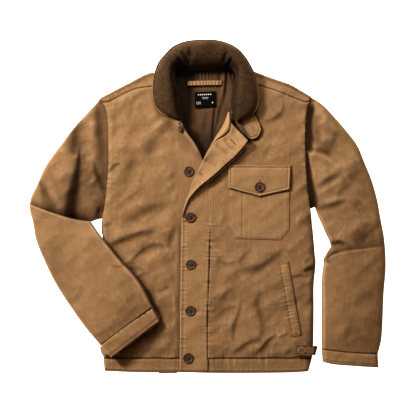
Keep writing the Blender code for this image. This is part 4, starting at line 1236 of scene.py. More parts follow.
def make_tube(
    node, outer, inner, width, pitch, flat_at, top_at, low_at, round_edge, wall, finish, arch=0.0,
    dense=None, lean=0.0, painted_shade=None, rim=0.0, low_over=None,
):
    share, above = ring_of(width, pitch)
    length = max(outer.length, inner.length)
    rows = np.linspace(0, 1, int(length / pitch) + 1)
    if dense:
        rows = np.unique(np.concatenate([rows, np.linspace(dense[0], dense[1], 27)]))
    v = rows[:, None] * np.ones(len(share))[None, :]
    u = share[None, :] * np.ones_like(v)
    flat, wide = flat_at(u, v)
    near = np.minimum(u, 1 - u) * wide
    low = low_at(flat[..., 0], flat[..., 1])
    crown = (
        top_at(flat[..., 0], flat[..., 1], v)
        + (arch * (1 - (2 * u - 1) ** 2) - arch * 0.25) * (1 - 0.7 * smooth((v - 0.88) / 0.12))
    )
    crown = crown - lean * (1 - u) ** 2 * smooth(v / 0.15)
    over = (
        (low_over or low_at)(flat[..., 0], flat[..., 1]) + UNDER_LIFT
        + (crown - UNDER_LIFT) * quarter(u * wide, round_edge[0]) * quarter((1 - u) * wide, round_edge[1])
    )
    below = low + UNDER_LIFT * (1 - quarter(near, 8))
    z = np.where(above[None, :], over, below)
    # rim paints shade along the outer fold, fading within a few millimetres.
    dark = (painted_shade(flat[..., 0], flat[..., 1]) if painted_shade else 0.0) + rim * np.exp(-u * wide / 2.6)
    make_sheet(node, np.concatenate([flat, z[..., None]], axis=-1), wall, finish, closed=True, painted_shade=dark)


def on_floor(x, y):
    return 0 * x


def sleeve_flat(outer, inner, armhole, cuff_seam):
    def flat_at(u, v):
        out_point, in_point = outer.at(v), inner.at(v)
        share = u[..., None]
        flat = out_point * (1 - share) + in_point * share
        start = armhole.at(u) - (outer.at(0) * (1 - share) + inner.at(0) * share)
        end = cuff_seam.at(u) - (outer.at(1) * (1 - share) + inner.at(1) * share)
        flat = flat + start * (1 - smooth(v / 0.22))[..., None] + end * smooth((v - 0.85) / 0.15)[..., None]
        return flat, np.linalg.norm(out_point - in_point, axis=-1)

    return flat_at


print("sleeve helpers made")

# %% [markdown]
# ## The straight sleeve
# The wearer's left sleeve hangs straight. It is sunk into a hollow beside the armhole, painted
# near black as shade, and is creased across the elbow and full in between.

# %% Left sleeve
CREASES_LEFT_SLEEVE = [
    (6, 2.4, 234.6, 117.3, 259.9, 110.4, 294.4, 89.7),
    (7, 6, 248.4, 43.7, 276, 59.8, 310.5, 79.3),
    (7, 4, 294.4, 25.3, 315.1, 43.7, 335.8, 55.2),
    (6.5, 6.6, 250.7, -4.6, 282.9, 3.4, 319.7, 14.9),
    (9, 4, 269.1, 121.9, 285.2, 138, 299, 179.4),
    (5.5, 5.5, 280.6, -89.7, 299, -81.6, 315.1, -83.9),
    (8, 2.8, 333.5, 0, 356.5, 13.8),
    (12, 3.6, 361.1, -36.8, 356.5, -64.4, 333.5, -85.1),
    (9, 3, 333.5, -223.1, 356.5, -207, 379.5, -193.2),
    (11, 3.2, 310.5, -299, 328.9, -271.4, 335.8, -243.8),
    (10, 2, 282.9, -223.1, 305.9, -230, 328.9, -223.1),
    (13, 3.4, 342.7, 105.8, 333.5, 82.8, 328.9, 50.6),
    (12, 2.2, 386.4, -119.6, 365.7, -142.6, 365.7, -170.2),
    (4, 2.6, 273.7, -128.8, 280.6, -121.9),
]
HOLLOWS_LEFT = [
    ([(241, 246), (237, 225), (233, 200), (231, 170), (229, 137)], 8, 15, 15),
    ([(228, 142), (229, 118), (232, 82.8), (236, 46.0), (243, 2)], 3, 12, 15),
]
beside_armhole = Line([(243, 222), (247, 185), (250, 160), (262, 136)])
armhole_crease = Line([(226, 133), (240, 130), (262, 126), (278, 120)])
elbow_folds = [Line([(281, -88), (299, -82), (313, -86)]), Line([(272, -124), (283, -112), (297, -105)])]
left_elbow = Line([(269.1, -123.0), (289.8, -109.2), (317.4, -101.2), (356.5, -96.6), (397.9, -92.0)])
left_cuff_seam = Line([(393.5, -340.5), (330, -336), (263.6, -328)])


# Painted shade: near black in the hollow beside the armhole, and along the elbow crease, the armhole, the
# elbow folds and the drag lines.
def left_sleeve_painted_shade(x, y):
    off, along, side = left_elbow.near(x, y)
    line = np.where(side > 0, 0.5 * np.exp(-off / 17), 0.35 * np.exp(-off / 3)) * smooth((along - 10) / 30)
    line = line + 0.42 * beside(beside_armhole, x, y, 12) + 0.5 * beside(armhole_crease, x, y, 4)
    line = line + drag_shade(CREASES_LEFT_SLEEVE, x, y)
    for fold in elbow_folds:
        line = line + 0.55 * beside(fold, x, y, 4)
    return 2.3 * (hollows(HOLLOWS_LEFT, x, y) / 15) ** 1.7 + line


def left_sleeve_top(x, y, v):
    rise = smooth(armhole_left.near(x, y)[0] / 46)
    crown = (
        12.5 + (SLEEVE_TOP - 12.5) * rise - 3.0 * smooth((-290 - y) / 45)
        - 0.14 * hollows(HOLLOWS_LEFT, x, y) - 1.2 * creases(CREASES_LEFT_SLEEVE, x, y)
        - overlap(left_elbow, x, y, 2.0, 30)
    )
    crown = crown + (0.8 + 0.6 * smooth((y + 140) / 60)) * cloth_unevenness(x, y, 51) * (0.4 + 0.6 * rise)
    crown = (
        crown + puckers(armhole_left, x, y, 14, 14, 0.9, 52)
        + puckers(left_cuff_seam, x, y, 11, 16, 1.3, 53)
    )
    to_cuff = beside(left_cuff_seam, x, y, 17)
    crown = (
        crown * (1 - to_cuff) + (CUFF_TOP + 1.2) * to_cuff + puckers(left_cuff_seam, x, y, 11, 14, 0.8, 54)
    )
    crown = crown - 1.0 * beside(armhole_left, x, y, 2.4) - 0.9 * beside(left_cuff_seam, x, y, 2.2)
    return np.maximum(crown, 3.6)


left_out, left_in = Line(LEFT_SLEEVE_OUT), Line(LEFT_SLEEVE_IN)
make_tube(
    "left_sleeve", left_out, left_in, 145, SLEEVE_PITCH,
    sleeve_flat(left_out, left_in, Line([(x - 2.2, y) for x, y in reversed(ARMHOLE_LEFT)]), left_cuff_seam),
    left_sleeve_top, on_floor, (28, 8), SHELL_WALL, canvas, arch=12.0, dense=(0.52, 0.60), lean=9.0,
    painted_shade=left_sleeve_painted_shade,
)

# %% [markdown]
# ## The bent sleeve
# The wearer's right sleeve is folded at the elbow so that the cuff lies on the hem. Both sides are
# bent lines. The crease runs in from the outside of the elbow, and shorter folds fan out from its
# inner corner.

# %% Right sleeve
CREASES_UPPER_ARM = [
    (13, 9, -299, 196.3, -305.9, 156.4, -310.5, 115),
    (9, 5, -255.3, 234.6, -253, 197.8, -248.4, 156.4, -239.2, 115),
    (6, 5.5, -262, 98, -250, 66, -239, 34),
    (6, 3.5, -238, 84, -252, 62, -268, 40),
    (10, 3.4, -259.9, 82.8, -272.5, 59.8, -266.8, 32.2, -262.2, 4.6),
    (8, 8, -380, 58, -370, 30, -346, -8),
    (7, 2.8, -368, 85.1, -351.9, 55.2, -333.5, 9.2),
    (5, 4.5, -249.5, 2.3, -253, -23),
    (6, 3, -239.2, 105.8, -238, 71.3, -236.9, 13.8),
]
CREASES_FOREARM = [
    (22, 3.4, -356.5, -69, -347.3, -128.8, -315.1, -207),
    (9, 2.4, -282.9, -177.1, -299, -209.3, -310.5, -230),
    (6, 2.4, -262.2, -292.1, -246.1, -290.9, -227.7, -286.3),
    (6, 2.8, -186.3, -220.8, -174.8, -207, -161, -197.8),
    (4, 3.4, -218.5, -133.4, -200.1, -138, -186.3, -129.9),
    (12, 2, -250.7, -216.2, -223.1, -216.2, -200.1, -230),
    (14, -1.8, -315.1, -78.2, -292.1, -112.7, -282.9, -147.2),
    (14, -2.2, -246.1, -128.8, -223.1, -158.7, -195.5, -188.6),
    (5, 2.2, -181.7, -250.7, -161, -230, -147.2, -223.1),
    (5, 2, -218.5, -266.8, -200.1, -253),
]
above_step = Line([(-294, 196), (-302, 165), (-307, 128)])
beside_seam = Line([(-249, 224), (-245, 180), (-241, 140), (-240, 96)])
corner_fold = Line([(-383, 55), (-374, 24), (-361, -6)])
armpit_folds = [Line([(-258, 82), (-248, 58), (-240, 36)]), Line([(-244, 4), (-251, -24)])]
arm_step = Line([
    (-284, 196), (-290, 165), (-293, 140), (-296, 114), (-302, 81), (-311, 48), (-319, 15), (-323, -18),
    (-323, -48),
])


def stepped(x, y):
    """Share of the step down from the outer to the inner half of the upper arm, and its shade."""
    off, along, side = arm_step.near(x, y)
    share = along / arm_step.length
    inner = smooth((off * side + 9) / 30) * smooth(share / 0.7)
    wide = 2.5 + 8.5 * smooth((share - 0.2) / 0.6)
    shade = 0.86 * np.exp(-(((off * side - wide * 0.8) / wide) ** 2)) * smooth((share - 0.2) / 0.2)
    shade = (
        shade * (0.9 + 0.8 * share)
        + 0.34 * np.exp(-(((off * side - 5) / (9 + 1.9 * wide)) ** 2)) * smooth((share - 0.08) / 0.3)
    )
    return inner, shade


right_elbow = Line([(-412.8, 8.0), (-361.1, -11.5), (-324.3, -23.0), (-292.1, -31.0), (-262.2, -34.5)])
right_cuff_seam = Line([(-244, -318.5), (-125.4, -230.4)])
whole_out = Line(RIGHT_SLEEVE_OUT + RIGHT_FOREARM_OUT[1:])
elbow_row = (len(RIGHT_SLEEVE_OUT) - 1) * 6
right_out = Bent(Line(whole_out.points[: elbow_row + 1], False), Line(whole_out.points[elbow_row:], False))
right_in = Bent(Line(RIGHT_SLEEVE_IN), Line(RIGHT_FOREARM_IN))


def under_forearm(x, y):
    outside = np.interp(y, [row[1] for row in SIDE_RIGHT], [row[0] for row in SIDE_RIGHT])
    reach = smooth((-30 - y) / 32)
    return OVER_BODY * reach * (1 - smooth((outside - x + 3) / 50))


def above_elbow(x, y):
    off, along, side = right_elbow.near(x, y)
    return np.where(side > 0, 1.0, np.exp(-((off / 2.0) ** 2)))


# Painted shade on the bent sleeve: in the step down on the upper arm, along the elbow crease and the
# armhole, in its folds and along the drag lines of both halves.
def right_sleeve_painted_shade(x, y):
    above = above_elbow(x, y)
    inner, shade = stepped(x, y)
    off, along, side = right_elbow.near(x, y)
    line = (
        0.65 * np.exp(-off / 4.5) * smooth(along / 40) + 0.5 * np.exp(-off / 9) * smooth((along - 60) / 40)
    )
    seam = 0.4 * fading(armhole_right, x, y, 9) * (y > -30)
    soft = (
        0.42 * beside(above_step, x, y, 13)
        + (0.24 + 0.22 * lumps(x, y, 34, 7)) * beside(beside_seam, x, y, 15)
    )
    away, run, way = corner_fold.near(x, y)
    soft = soft + 0.55 * np.exp(-((away / (3 + 0.17 * run)) ** 2))
    for fold in armpit_folds:
        soft = soft + 0.4 * beside(fold, x, y, 6)
    soft = soft + 0.7 * drag_shade(CREASES_UPPER_ARM, x, y)
    return (
        0.8 * drag_shade(CREASES_FOREARM, x, y) * (1 - above)
        + above * (1.35 * shade + 0.14 * inner + soft + line + seam)
    )


def forearm_rise(x, y):
    """The top of the forearm climbs on to the body more slowly than its underside does."""
    outside = np.interp(y, [row[1] for row in SIDE_RIGHT], [row[0] for row in SIDE_RIGHT])
    return OVER_BODY * smooth((-30 - y) / 40) * (1 - smooth((outside - x + 55) / 170))


def right_sleeve_top(x, y, v):
    near = armhole_right.near(x, y)[0]
    rise = np.where(y > -30, smooth(near / 38), 1.0)
    inner, shade = stepped(x, y)
    crown = 10.0 + (SLEEVE_TOP - 10.0 - 5.0 * inner * above_elbow(x, y)) * rise
    above = above_elbow(x, y)
    crown = crown - creases(CREASES_UPPER_ARM, x, y) * above - creases(CREASES_FOREARM, x, y) * (1 - above)
    crown = crown - overlap(right_elbow, x, y, 10.0, 15)
    crown = crown + (0.8 + 0.6 * (y > -30)) * cloth_unevenness(x, y, 61) * (0.4 + 0.6 * rise)
    crown = (
        crown + np.where(y > -30, puckers(armhole_right, x, y, 14, 14, 0.9, 62) - 1.0 * dip(near, 2.4), 0)
    )
    to_cuff = beside(right_cuff_seam, x, y, 17)
    crown = (
        crown * (1 - to_cuff) + (CUFF_TOP + 1.2) * to_cuff + puckers(right_cuff_seam, x, y, 11, 16, 1.4, 63)
    )
    crown = crown - 0.9 * beside(right_cuff_seam, x, y, 2.2)
    return np.maximum(crown, 3.6)


make_tube(
    "right_sleeve", right_out, right_in, 150, SLEEVE_PITCH,
    sleeve_flat(
        right_out, right_in, Line([(x + 2.2, y) for x, y in reversed(ARMHOLE_RIGHT)]), right_cuff_seam
    ),
    right_sleeve_top, under_forearm, (4.5, 7), SHELL_WALL, canvas, arch=8.0, dense=(0.425, 0.475),
    painted_shade=right_sleeve_painted_shade, rim=0.55, low_over=forearm_rise,
)

# %% [markdown]
# ## The cuffs
# A cuff is a short flattened band past the end of each sleeve, stitched near its open end.

# %% Cuffs


def make_cuff(node, seam_rows, end_rows, low_at, seed, round_edge):
    seam, end = Line(seam_rows), Line(end_rows)
    stitch = Line(seam.at(np.linspace(0, 1, 9)) * 0.22 + end.at(np.linspace(0, 1, 9)) * 0.78)

    class Side:
        def __init__(self, share):
            self.length = float(np.linalg.norm(seam.at(share) - end.at(share)))

    def flat_at(u, v):
        share = v[..., None]
        return seam.at(u) * (1 - share) + end.at(u) * share, seam.length * np.ones_like(u)

    def top_at(x, y, v):
        ripple = puckers(seam, x, y, 11, 10, 1.0, seed) + puckers(stitch, x, y, 9, 7, 0.6, seed + 1)
        crown = CUFF_TOP - 1.5 * smooth((v - 0.6) / 0.4) + ripple + 0.9 * cloth_unevenness(x, y, seed + 2)
        return crown - 0.9 * beside(stitch, x, y, 1.6) - 1.2 * beside(seam, x, y, 2.2)

    make_tube(
        node, Side(0), Side(1), seam.length, 2.4, flat_at, top_at, low_at, round_edge, CUFF_WALL, canvas,
        arch=4.0, rim=0.4,
    )
    return stitch


left_cuff_stitch = make_cuff(
    "left_cuff", [(393.3, -341.1), (330, -336.6), (263.6, -328.6)],
    [(395, -371.5), (330, -367), (290, -363.5), (266.5, -358.5)], on_floor, 71, (20, 10),
)
right_cuff_stitch = make_cuff(
    "right_cuff", [(-243.6, -318.9), (-185, -274), (-125.0, -230.8)],
    [(-219.4, -347), (-165, -307), (-109, -262.5)], under_forearm, 74, (4.5, 7),
)

# %% [markdown]
# ## The collar
# The wool collar stands up from the neck seam, rolls over at its crest and falls to its outer
# edge. The table has a section every few centimetres round the neck, and a smooth curve joins
# them. The under collar is a thin canvas layer behind it, cut a little larger, so that it shows as
# a pale rim.

# %% Collar
COLLAR = [
    (-58, 199.5, 22.4, -70, 199.5, 32, -88, 206.5, 24.5),
    (-60, 206, 21.0, -76, 207, 37, -103, 214, 24.5),
    (-62, 217, 19.5, -82, 219, 41, -113.5, 226, 24.5),
    (-63.5, 232, 17.6, -85, 236, 44, -119.5, 240, 24.5),
    (-65, 250, 17.2, -87, 252, 46, -121.5, 255, 25),
    (-67, 268, 17.2, -88, 272, 47, -121.5, 272, 26),
    (-73, 289, 17.2, -90, 298, 49, -118.5, 300, 28),
    (-73.5, 305, 15.5, -88, 324, 52, -108.5, 327, 33),
    (-70, 311, 11.6, -81, 338, 54, -95, 343, 38),
    (-58, 313.5, 9.0, -65, 351, 56, -76, 361, 42),
    (-38, 313.5, 8.6, -42, 359, 57, -47, 372.5, 45),
    (-13, 313.5, 8.6, -13, 361, 57, -13, 375.5, 46),
    (16, 313.5, 8.6, 20, 359, 57, 24, 374.5, 45),
    (42, 313.5, 9.0, 49, 350, 56, 57, 364, 42),
    (57, 312, 11.0, 68, 336, 54, 78, 348, 38),
    (64, 303, 15.5, 79, 316, 52, 98, 319, 33),
    (62, 288, 18.6, 81, 294, 50, 109.5, 294, 30),
    (58, 268, 19.4, 79, 270, 48, 114.5, 268, 29),
    (56, 250, 19.4, 78, 250, 47, 116.4, 250, 29),
    (56, 232, 19.6, 77, 232, 46, 114, 232, 29),
    (57, 217, 20.5, 76, 215, 44, 107, 217, 29.5),
    (58, 205, 23.5, 74, 204, 41, 94, 207, 30),
    (59.5, 196, 25.5, 69, 194.5, 37, 81, 200, 30),
]
COLLAR_WALL = 3.0
INNER_FOLDS = [
    (-58, 352, -40, 325, 4.5, 6.5),
    (-66, 334, -50, 316, 4.0, 6.0),
    (-42, 364, -36, 338, 4.0, 5.0),
    (46, 352, 38, 330, 5.0, 5.0),
    (56, 336, 44, 316, 4.0, 5.5),
    (4, 372, 12, 345, 8.0, 1.2),
    (20, 366, 30, 340, 7.0, 1.6),
]


def collar_grid(stations, shares_across):
    table = np.array(COLLAR, float)
    position = stations * (len(COLLAR) - 1)
    index = np.minimum(position.astype(int), len(COLLAR) - 2)
    part = (position - index)[:, None]
    before, first = table[np.maximum(index - 1, 0)], table[index]
    second, after = table[index + 1], table[np.minimum(index + 2, len(COLLAR) - 1)]
    row = first * 2 + (second - before) * part
    row = row + (before * 2 - first * 5 + second * 4 - after) * part**2
    row = (row + (first * 3 - before - second * 3 + after) * part**3) * 0.5
    base, crest, edge = row[:, None, 0:3], row[:, None, 3:6], row[:, None, 6:9]
    share = shares_across[None, :, None]
    rise = np.minimum(share, 0.5) * math.pi
    fall = np.maximum(share - 0.5, 0) * math.pi
    up = base + (crest - base) * (1 - np.cos(rise))
    up[..., 2:] = base[..., 2:] + (crest - base)[..., 2:] * np.sin(rise)
    over = crest + (edge - crest) * np.sin(fall)
    over[..., 2:] = crest[..., 2:] - (crest - edge)[..., 2:] * (1 - np.cos(fall))
    points = np.where(share < 0.5, up, over)
    v, u = stations[:, None], shares_across[None, :]
    x, y = points[..., 0], points[..., 1]
    points[..., 2] += 1.2 * np.sin(v * 41) * np.sin(u * math.pi) * smooth(1 - np.abs(v - 0.5) / 0.3)
    inside = smooth((0.52 - u) / 0.1)
    points[..., 2] -= inside * folds(INNER_FOLDS, x, y)
    points[..., 2] -= inside * 0.9 * dip(y - 342, 2.0) * smooth((46 - np.abs(x + 10)) / 12)
    points[..., 2] += (
        1.5 * lumps(x, y, 26, 81) * np.sin(u * math.pi) + 0.5 * lumps(x, y, 11, 82)
        + 0.2 * lumps(x, y, 5, 83)
    )
    return points


def grid_normals(points):
    along = np.gradient(points, axis=0)
    across = np.gradient(points, axis=1)
    normal = np.cross(along, across)
    return normal / np.maximum(np.linalg.norm(normal, axis=2)[..., None], 1e-9)


stations = np.linspace(0, 1, 231)
collar_shares = (
    0.5 - 0.5 * np.cos(np.linspace(0, 1, 41) * math.pi) * 0.35 - 0.325 * (1 - 2 * np.linspace(0, 1, 41))
)
collar_points = collar_grid(stations, collar_shares)
station, across = stations[:, None], collar_shares[None, :]
# Painted shade on the collar: on the inner face of its sides, at the back corners and on the inner face
# with its folds.
inner_sides_shade = smooth((np.abs(station - 0.5) - 0.03) / 0.1) * smooth((0.46 - across) / 0.3)
corners = np.exp(-(((np.abs(station - 0.5) - 0.1) / 0.035) ** 2)) * smooth((0.5 - across) / 0.3)
inner_shade = 0.2 * smooth((0.47 - across) / 0.16) + 0.1 * smooth((0.5 - across) / 0.1) * np.maximum(
    folds(INNER_FOLDS, collar_points[..., 0], collar_points[..., 1]), 0
)
make_sheet("collar", collar_points, WOOL_WALL, wool, painted_shade=0.75 * inner_sides_shade + 0.3 * corners + inner_shade)

below = collar_points - grid_normals(collar_points) * (COLLAR_WALL + 0.55)
outward = collar_points[:, -1, :2] - collar_points[:, 20, :2]
outward = outward / np.linalg.norm(outward, axis=1)[:, None]
lip = []
for out, down_by in ((-1.6, 0.6), (0.4, 1.1), (1.6, 1.0), (2.3, 0.4), (2.2, -0.6)):
    rim = collar_points[:, -1].copy()
    rim[:, :2] += outward * out
    rim[:, 2] -= down_by
    lip.append(rim[:, None])
under_points = np.concatenate([below[:, :-1], *lip], axis=1)
make_sheet("under_collar", under_points, THIN_WALL, canvas_pale)

# %% [markdown]
# ## Inside the neck
# The lining is gathered under the collar seam, with two long pleats. The locker loop, a tab of
# shell cloth caught down with small bars, and a plain black label are sewn on it.

# %% Lining, loop and label


CREASES_LINING = [
    (3, 7, 16.5, 230, 15.5, 213, 13, 185, 10.8, 150),
    (3.2, 5, 33.8, 255, 27, 215, 19, 178, 14, 150),
    (4, 6, 44, 300, 40, 262, 36, 228),
    (5, 7, -64, 302, -50, 280, -40, 250, -36, 215),
    (5, 6, -62, 272, -46, 244, -38, 205, -34, 168),
    (5, 4, -30, 222, -26, 190, -20, 150),
    (6, 3.5, -2, 222, -6, 190, -10, 150),
]


PLEAT = Line([(17.5, 232), (15.5, 213), (13, 185), (10.8, 150)])
PLEAT_OUT = Line([(45, 296), (40, 262), (33, 228), (24, 190)])


def lining_top(x, y):
    gathers = 1.9 * np.sin(x / 1.5 + 1.6 * np.sin(x / 11) + (y - 300) / 9) * smooth(
        (y - 286) / 20
    ) * (0.55 + 0.45 * np.sin(x / 9 + 2))
    pleats = -creases(CREASES_LINING, x, y)
    pleats = (
        pleats + 2.6 * dip(x - 38, 5) * smooth((y - 235) / 40)
        - 2.0 * dip(x - 31, 4) * smooth((y - 250) / 30)
    )
    tucks = 0.8 * dip(y - 272, 2.0) * smooth((30 - np.abs(x + 8)) / 10)
    soft = 0.5 * lumps(x, y, 24, 91) + 0.3 * lumps(x, y, 9, 92)
    return 6.8 + 0.6 * smooth((y - 150) / 80) + gathers + pleats - tucks + soft


# Painted shade inside the neck: under the collar on the wearer's right, towards the bottom, along the
# pleats and the wearer's left edge, and just under the collar seam.
def lining_painted_shade(x, y):
    left = 0.85 * smooth((-22 - x + 0.12 * (y - 220)) / 26)
    low = 0.8 * smooth((200 - y) / 60)
    line = 0.8 * beside(PLEAT, x, y, 2.4) + 0.4 * beside(PLEAT_OUT, x, y, 2.6) + 0.3 * smooth((x - 54) / 6)
    return left + low + line + 0.5 * smooth((y - 306) / 6)


make_panel(
    "back_lining",
    [[(-18, 92), (-44, 140), (-60, 180), (-68, 240), (-73, 315)],
     [(8, 92), (30, 140), (54, 190), (60, 240), (62, 315)],
     [(-18, 92), (8, 92)], [(-73, 315), (62, 315)]],
    1.4, lining_top, THIN_WALL, lining, painted_shade=lining_painted_shade,
)
LOOP_BARS = [-39, -33.5, -24, -15.5, -8, -1.2, 5, 12, 19.5, 28]


def loop_top(x, y):
    height = 12.4 - 1.4 * smooth((np.abs(x + 5.6) - 30) / 8)
    for bar in LOOP_BARS:
        height = height - 0.7 * dip(x - bar, 1.5)
    return height


make_panel(
    "locker_loop",
    straight((-44.6, 277), (33.4, 278.4), (-44.6, 287.4), (33.4, 288.8)),
    1.2, loop_top, LOOP_WALL, canvas_trim_finish, eased=CORNERED,
)
make_panel(
    "label",
    straight((-28.3, 226), (20.5, 229), (-28.3, 261.7), (19.8, 264)),
    1.5, lambda x, y: 10.6 + 0.25 * lumps(x, y, 18, 95), LABEL_WALL, label_black, eased=CORNERED,
)

# %% [markdown]
# ## Pockets and tabs
# The chest pocket, its pointed flap and the two welts are sewn flat on the fronts, so their
# surfaces are the front's own surface moved out. The flap stands off a little at its point. The
# rows of stitching press a channel along each edge.

# %% Pockets
POCKET = [(48.5, 62), (48.5, -47), (66, -75), (170, -78), (189, -53.6), (190, 62)]
FLAP_EDGE = [(49.2, 93.8), (48.5, 41.9), (120.5, 22.3), (189.3, 37.7), (192.3, 93.2)]
pocket_edge = Line(POCKET, False)
flap_edge = Line(FLAP_EDGE, False)
pen_line = Line([(80.5, 40), (80.5, -75)])
flap_top_edge = Line([(49.2, 93.8), (192.3, 93.2)])


def edge_channel(edge, x, y, seed, inset=5.5):
    off = edge.near(x, y)[0]
    roll = -0.9 * (1 - quarter(off, 2.5)) - 1.2 * dip(off - inset, 1.4)
    return roll + puckers(edge, x, y, 8.5, 10, 0.9, seed)


def pocket_top(x, y):
    height = left_top(x, y) + 1.8 + 0.6 * edge_channel(pocket_edge, x, y, 101, 3)
    height = height - 0.7 * beside(pen_line, x, y, 1.5) + puckers(pen_line, x, y, 9, 6, 0.4, 103)
    return height + 0.7 * np.maximum(cloth_unevenness(x, y, 104), -0.6)


def flap_top(x, y):
    height = left_top(x, y, 0.4) + 3.6 + 2.8 * smooth((93 - y) / 26)
    height = (
        height + edge_channel(flap_edge, x, y, 105, 6) - 1.2 * dip(flap_top_edge.near(x, y)[0] - 5, 1.5)
    )
    sink = np.exp(-(((x - 120.5) / 9) ** 2) - ((y - 52) / 12) ** 2)
    return height + 0.7 * cloth_unevenness(x, y, 107) - 0.8 * sink


def welt_left_top(x, y):
    return (
        left_top(x, y, 0.7) + 2.4 + edge_channel(welt_left_edge, x, y, 111, 3)
        + puckers(welt_left_line, x, y, 9.5, 22, 0.6, 9, 0.7)
    )


# The pocket carries painted shade under the flap's edge, along its stitching inside its edge and along the
# pen division.
make_panel(
    "chest_pocket",
    [
        [(66, -75), (48.5, -47), (48.5, 62)], [(170, -78), (189, -53.6), (190, 62)],
        [(66, -75), (170, -78)], [(48.5, 62), (190, 62)],
    ],
    1.5, pocket_top, SHELL_WALL, canvas_trim_finish, eased=CORNERED,
    painted_shade=lambda x, y: 0.6 * beside(flap_edge, x, y, 3.5) + 0.4 * dip(
        pocket_edge.near(x, y)[0] - 2.4, 1.1
    ) + 0.25 * beside(pen_line, x, y, 1.2),
)
make_panel(
    "pocket_flap",
    [
        [(48.5, 41.9), (49.2, 93.8)], [(189.3, 37.7), (192.3, 93.2)],
        [(48.5, 41.9), (120.5, 22.3), (189.3, 37.7)], [(49.2, 93.8), (192.3, 93.2)],
    ],
    1.3, flap_top, FLAP_WALL, canvas_trim_finish, eased=CORNERED,
)
welt_left_edge = Line(
    [(165.4, -132), (186.5, -129.5), (216, -295.6), (194.8, -299.7), (165.4, -132)], False
)
welt_right_edge = Line([(-206, -142), (-185, -146), (-207, -301), (-228, -297), (-206, -142)], False)
# The left welt carries painted shade along its edge.
make_panel(
    "welt_left",
    straight((194.8, -299.7), (216, -295.6), (165.4, -132), (186.5, -129.5)),
    1.1, welt_left_top, SHELL_WALL, canvas_trim_finish, eased=CORNERED,
    painted_shade=lambda x, y: 0.5 * dip(welt_left_edge.near(x, y)[0] - 1.4, 1.1),
)
make_panel(
    "welt_right",
    straight((-228, -297), (-207, -301), (-206, -142), (-185, -146)),
    2.4, lambda x, y: right_top(x, y, 0.7) + 2.4 + edge_channel(welt_right_edge, x, y, 112, 3), 1.6,
    canvas_trim_finish, eased=CORNERED,
)

# %% [markdown]
# The waist tabs cross the side seam at the hem. The throat tab comes out from under the left end
# of the collar with its rounded end free.

# %% Tabs
tab_box = Line(
    [
        (229, -339.5), (206, -339.5), (206, -321.5), (229, -321.5), (229, -339.5), (206, -321.5),
        (206, -339.5), (229, -321.5),
    ],
    False,
)
waist_edge = Line([(255, -322), (203, -318.6), (203, -342.7), (249, -342.5)], False)
THROAT = [
    (72, 192), (86.5, 167), (91, 159), (96.5, 154.6), (107, 153), (118, 160), (124.5, 176), (120, 189),
    (108.6, 211),
]
throat_edge = Line(THROAT)
collar_tip = Line([(69, 194.5), (81, 200), (94, 207), (107, 217)])


def waist_top(top, side, edge, seed):
    def height(x, y):
        past = np.maximum(np.abs(x) - side, 0) / 25
        return top + 3.2 - 9 * past**1.5 + (edge_channel(edge, x, y, seed, 3) if edge else 0)

    return height


def throat_top(x, y):
    return (
        20.6 + 3.0 * smooth((205 - y) / 40) + edge_channel(throat_edge, x, y, 115, 5)
        + 0.6 * cloth_unevenness(x, y, 116)
    )


tab_left_top = waist_top(LEFT_TOP + 1.2, 230, waist_edge, 113)
# The left waist tab is painted darker all over and along its stitching and edge, partly for its dense dark
# stitching and partly as shade, and near black at its end, painted shade where it turns round the side.
make_panel(
    "waist_tab_left",
    straight((203, -342.7), (249, -342.5), (203, -318.6), (255, -322)),
    0.9, tab_left_top, FLAP_WALL, canvas_trim_finish, eased=CORNERED,
    painted_shade=lambda x, y: 0.18 + 0.62 * beside(tab_box, x, y, 1.0) + 0.5 * beside(
        waist_edge, x, y, 1.3
    ) + 0.95 * smooth((x - 243) / 6),
)
make_panel(
    "waist_tab_right",
    straight((-242, -342), (-201, -342), (-246.5, -324), (-201, -319)),
    2.4, waist_top(BODY_TOP + 1.0, 227, None, 114), 1.8, canvas_trim_finish, eased=CORNERED,
)
# The throat tab carries painted shadow along its edge beside the folded-back top and under the collar's
# tip.
make_panel(
    "throat_tab",
    [[(67, 201), (72, 192), (86.5, 167), (91, 159)], [(104, 219), (108.6, 211), (120, 189), (124.5, 176)],
     [(67, 201), (104, 219)], [(91, 159), (96.5, 154.6), (107, 153), (118, 160), (124.5, 176)]],
    1.4, throat_top, THROAT_WALL, canvas_trim_finish,
    painted_shade=lambda x, y: 1.3 * dip(
        Line([(60, 205), (72, 192), (86.5, 167), (92, 157)]).near(x, y)[0], 6.5
    ) + 0.8 * beside(collar_tip, x, y, 5),
)

# %% [markdown]
# ## Buttons
# A button is turned from a disc: a rounded rim, a shallow bowl and four drilled holes. It is
# modelled once with the usual tools, at the origin, and a copy with its own mesh goes to each
# place with its own tilt.

# %% Button
BUTTON_RADIUS = 11.75
BUTTON_DEPTH = 2.6
BUTTON_MIDDLE = 1.5
HOLE_RADIUS = 1.15
HOLE_OUT = 3.25
# How far in and then how far up each ring of the face goes, from the rim to the middle.
BUTTON_FACE = [(1.3, 0.7), (1.2, 0), (1.2, -1.2), (1.6, -0.2), (0.8, 0.35)]
BUTTONS = [  # node, x, y, height, tilt and turn in degrees
    ("button_1", -61.2, 181, 28.6, -58, 10),
    ("button_2", -41.9, 79.6, 16.9, 0, 20),
    ("button_3", -38, -26, 20.9, 0, 5),
    ("button_4", -37.3, -134.3, 20.9, 0, 40),
    ("button_5", -38.2, -240.4, 20.9, 0, 12),
    ("button_6", -43.2, -348.7, 20.9, 0, 30),
    ("button_pocket", 120.5, 43.9, 25.4, 0, 15),
]


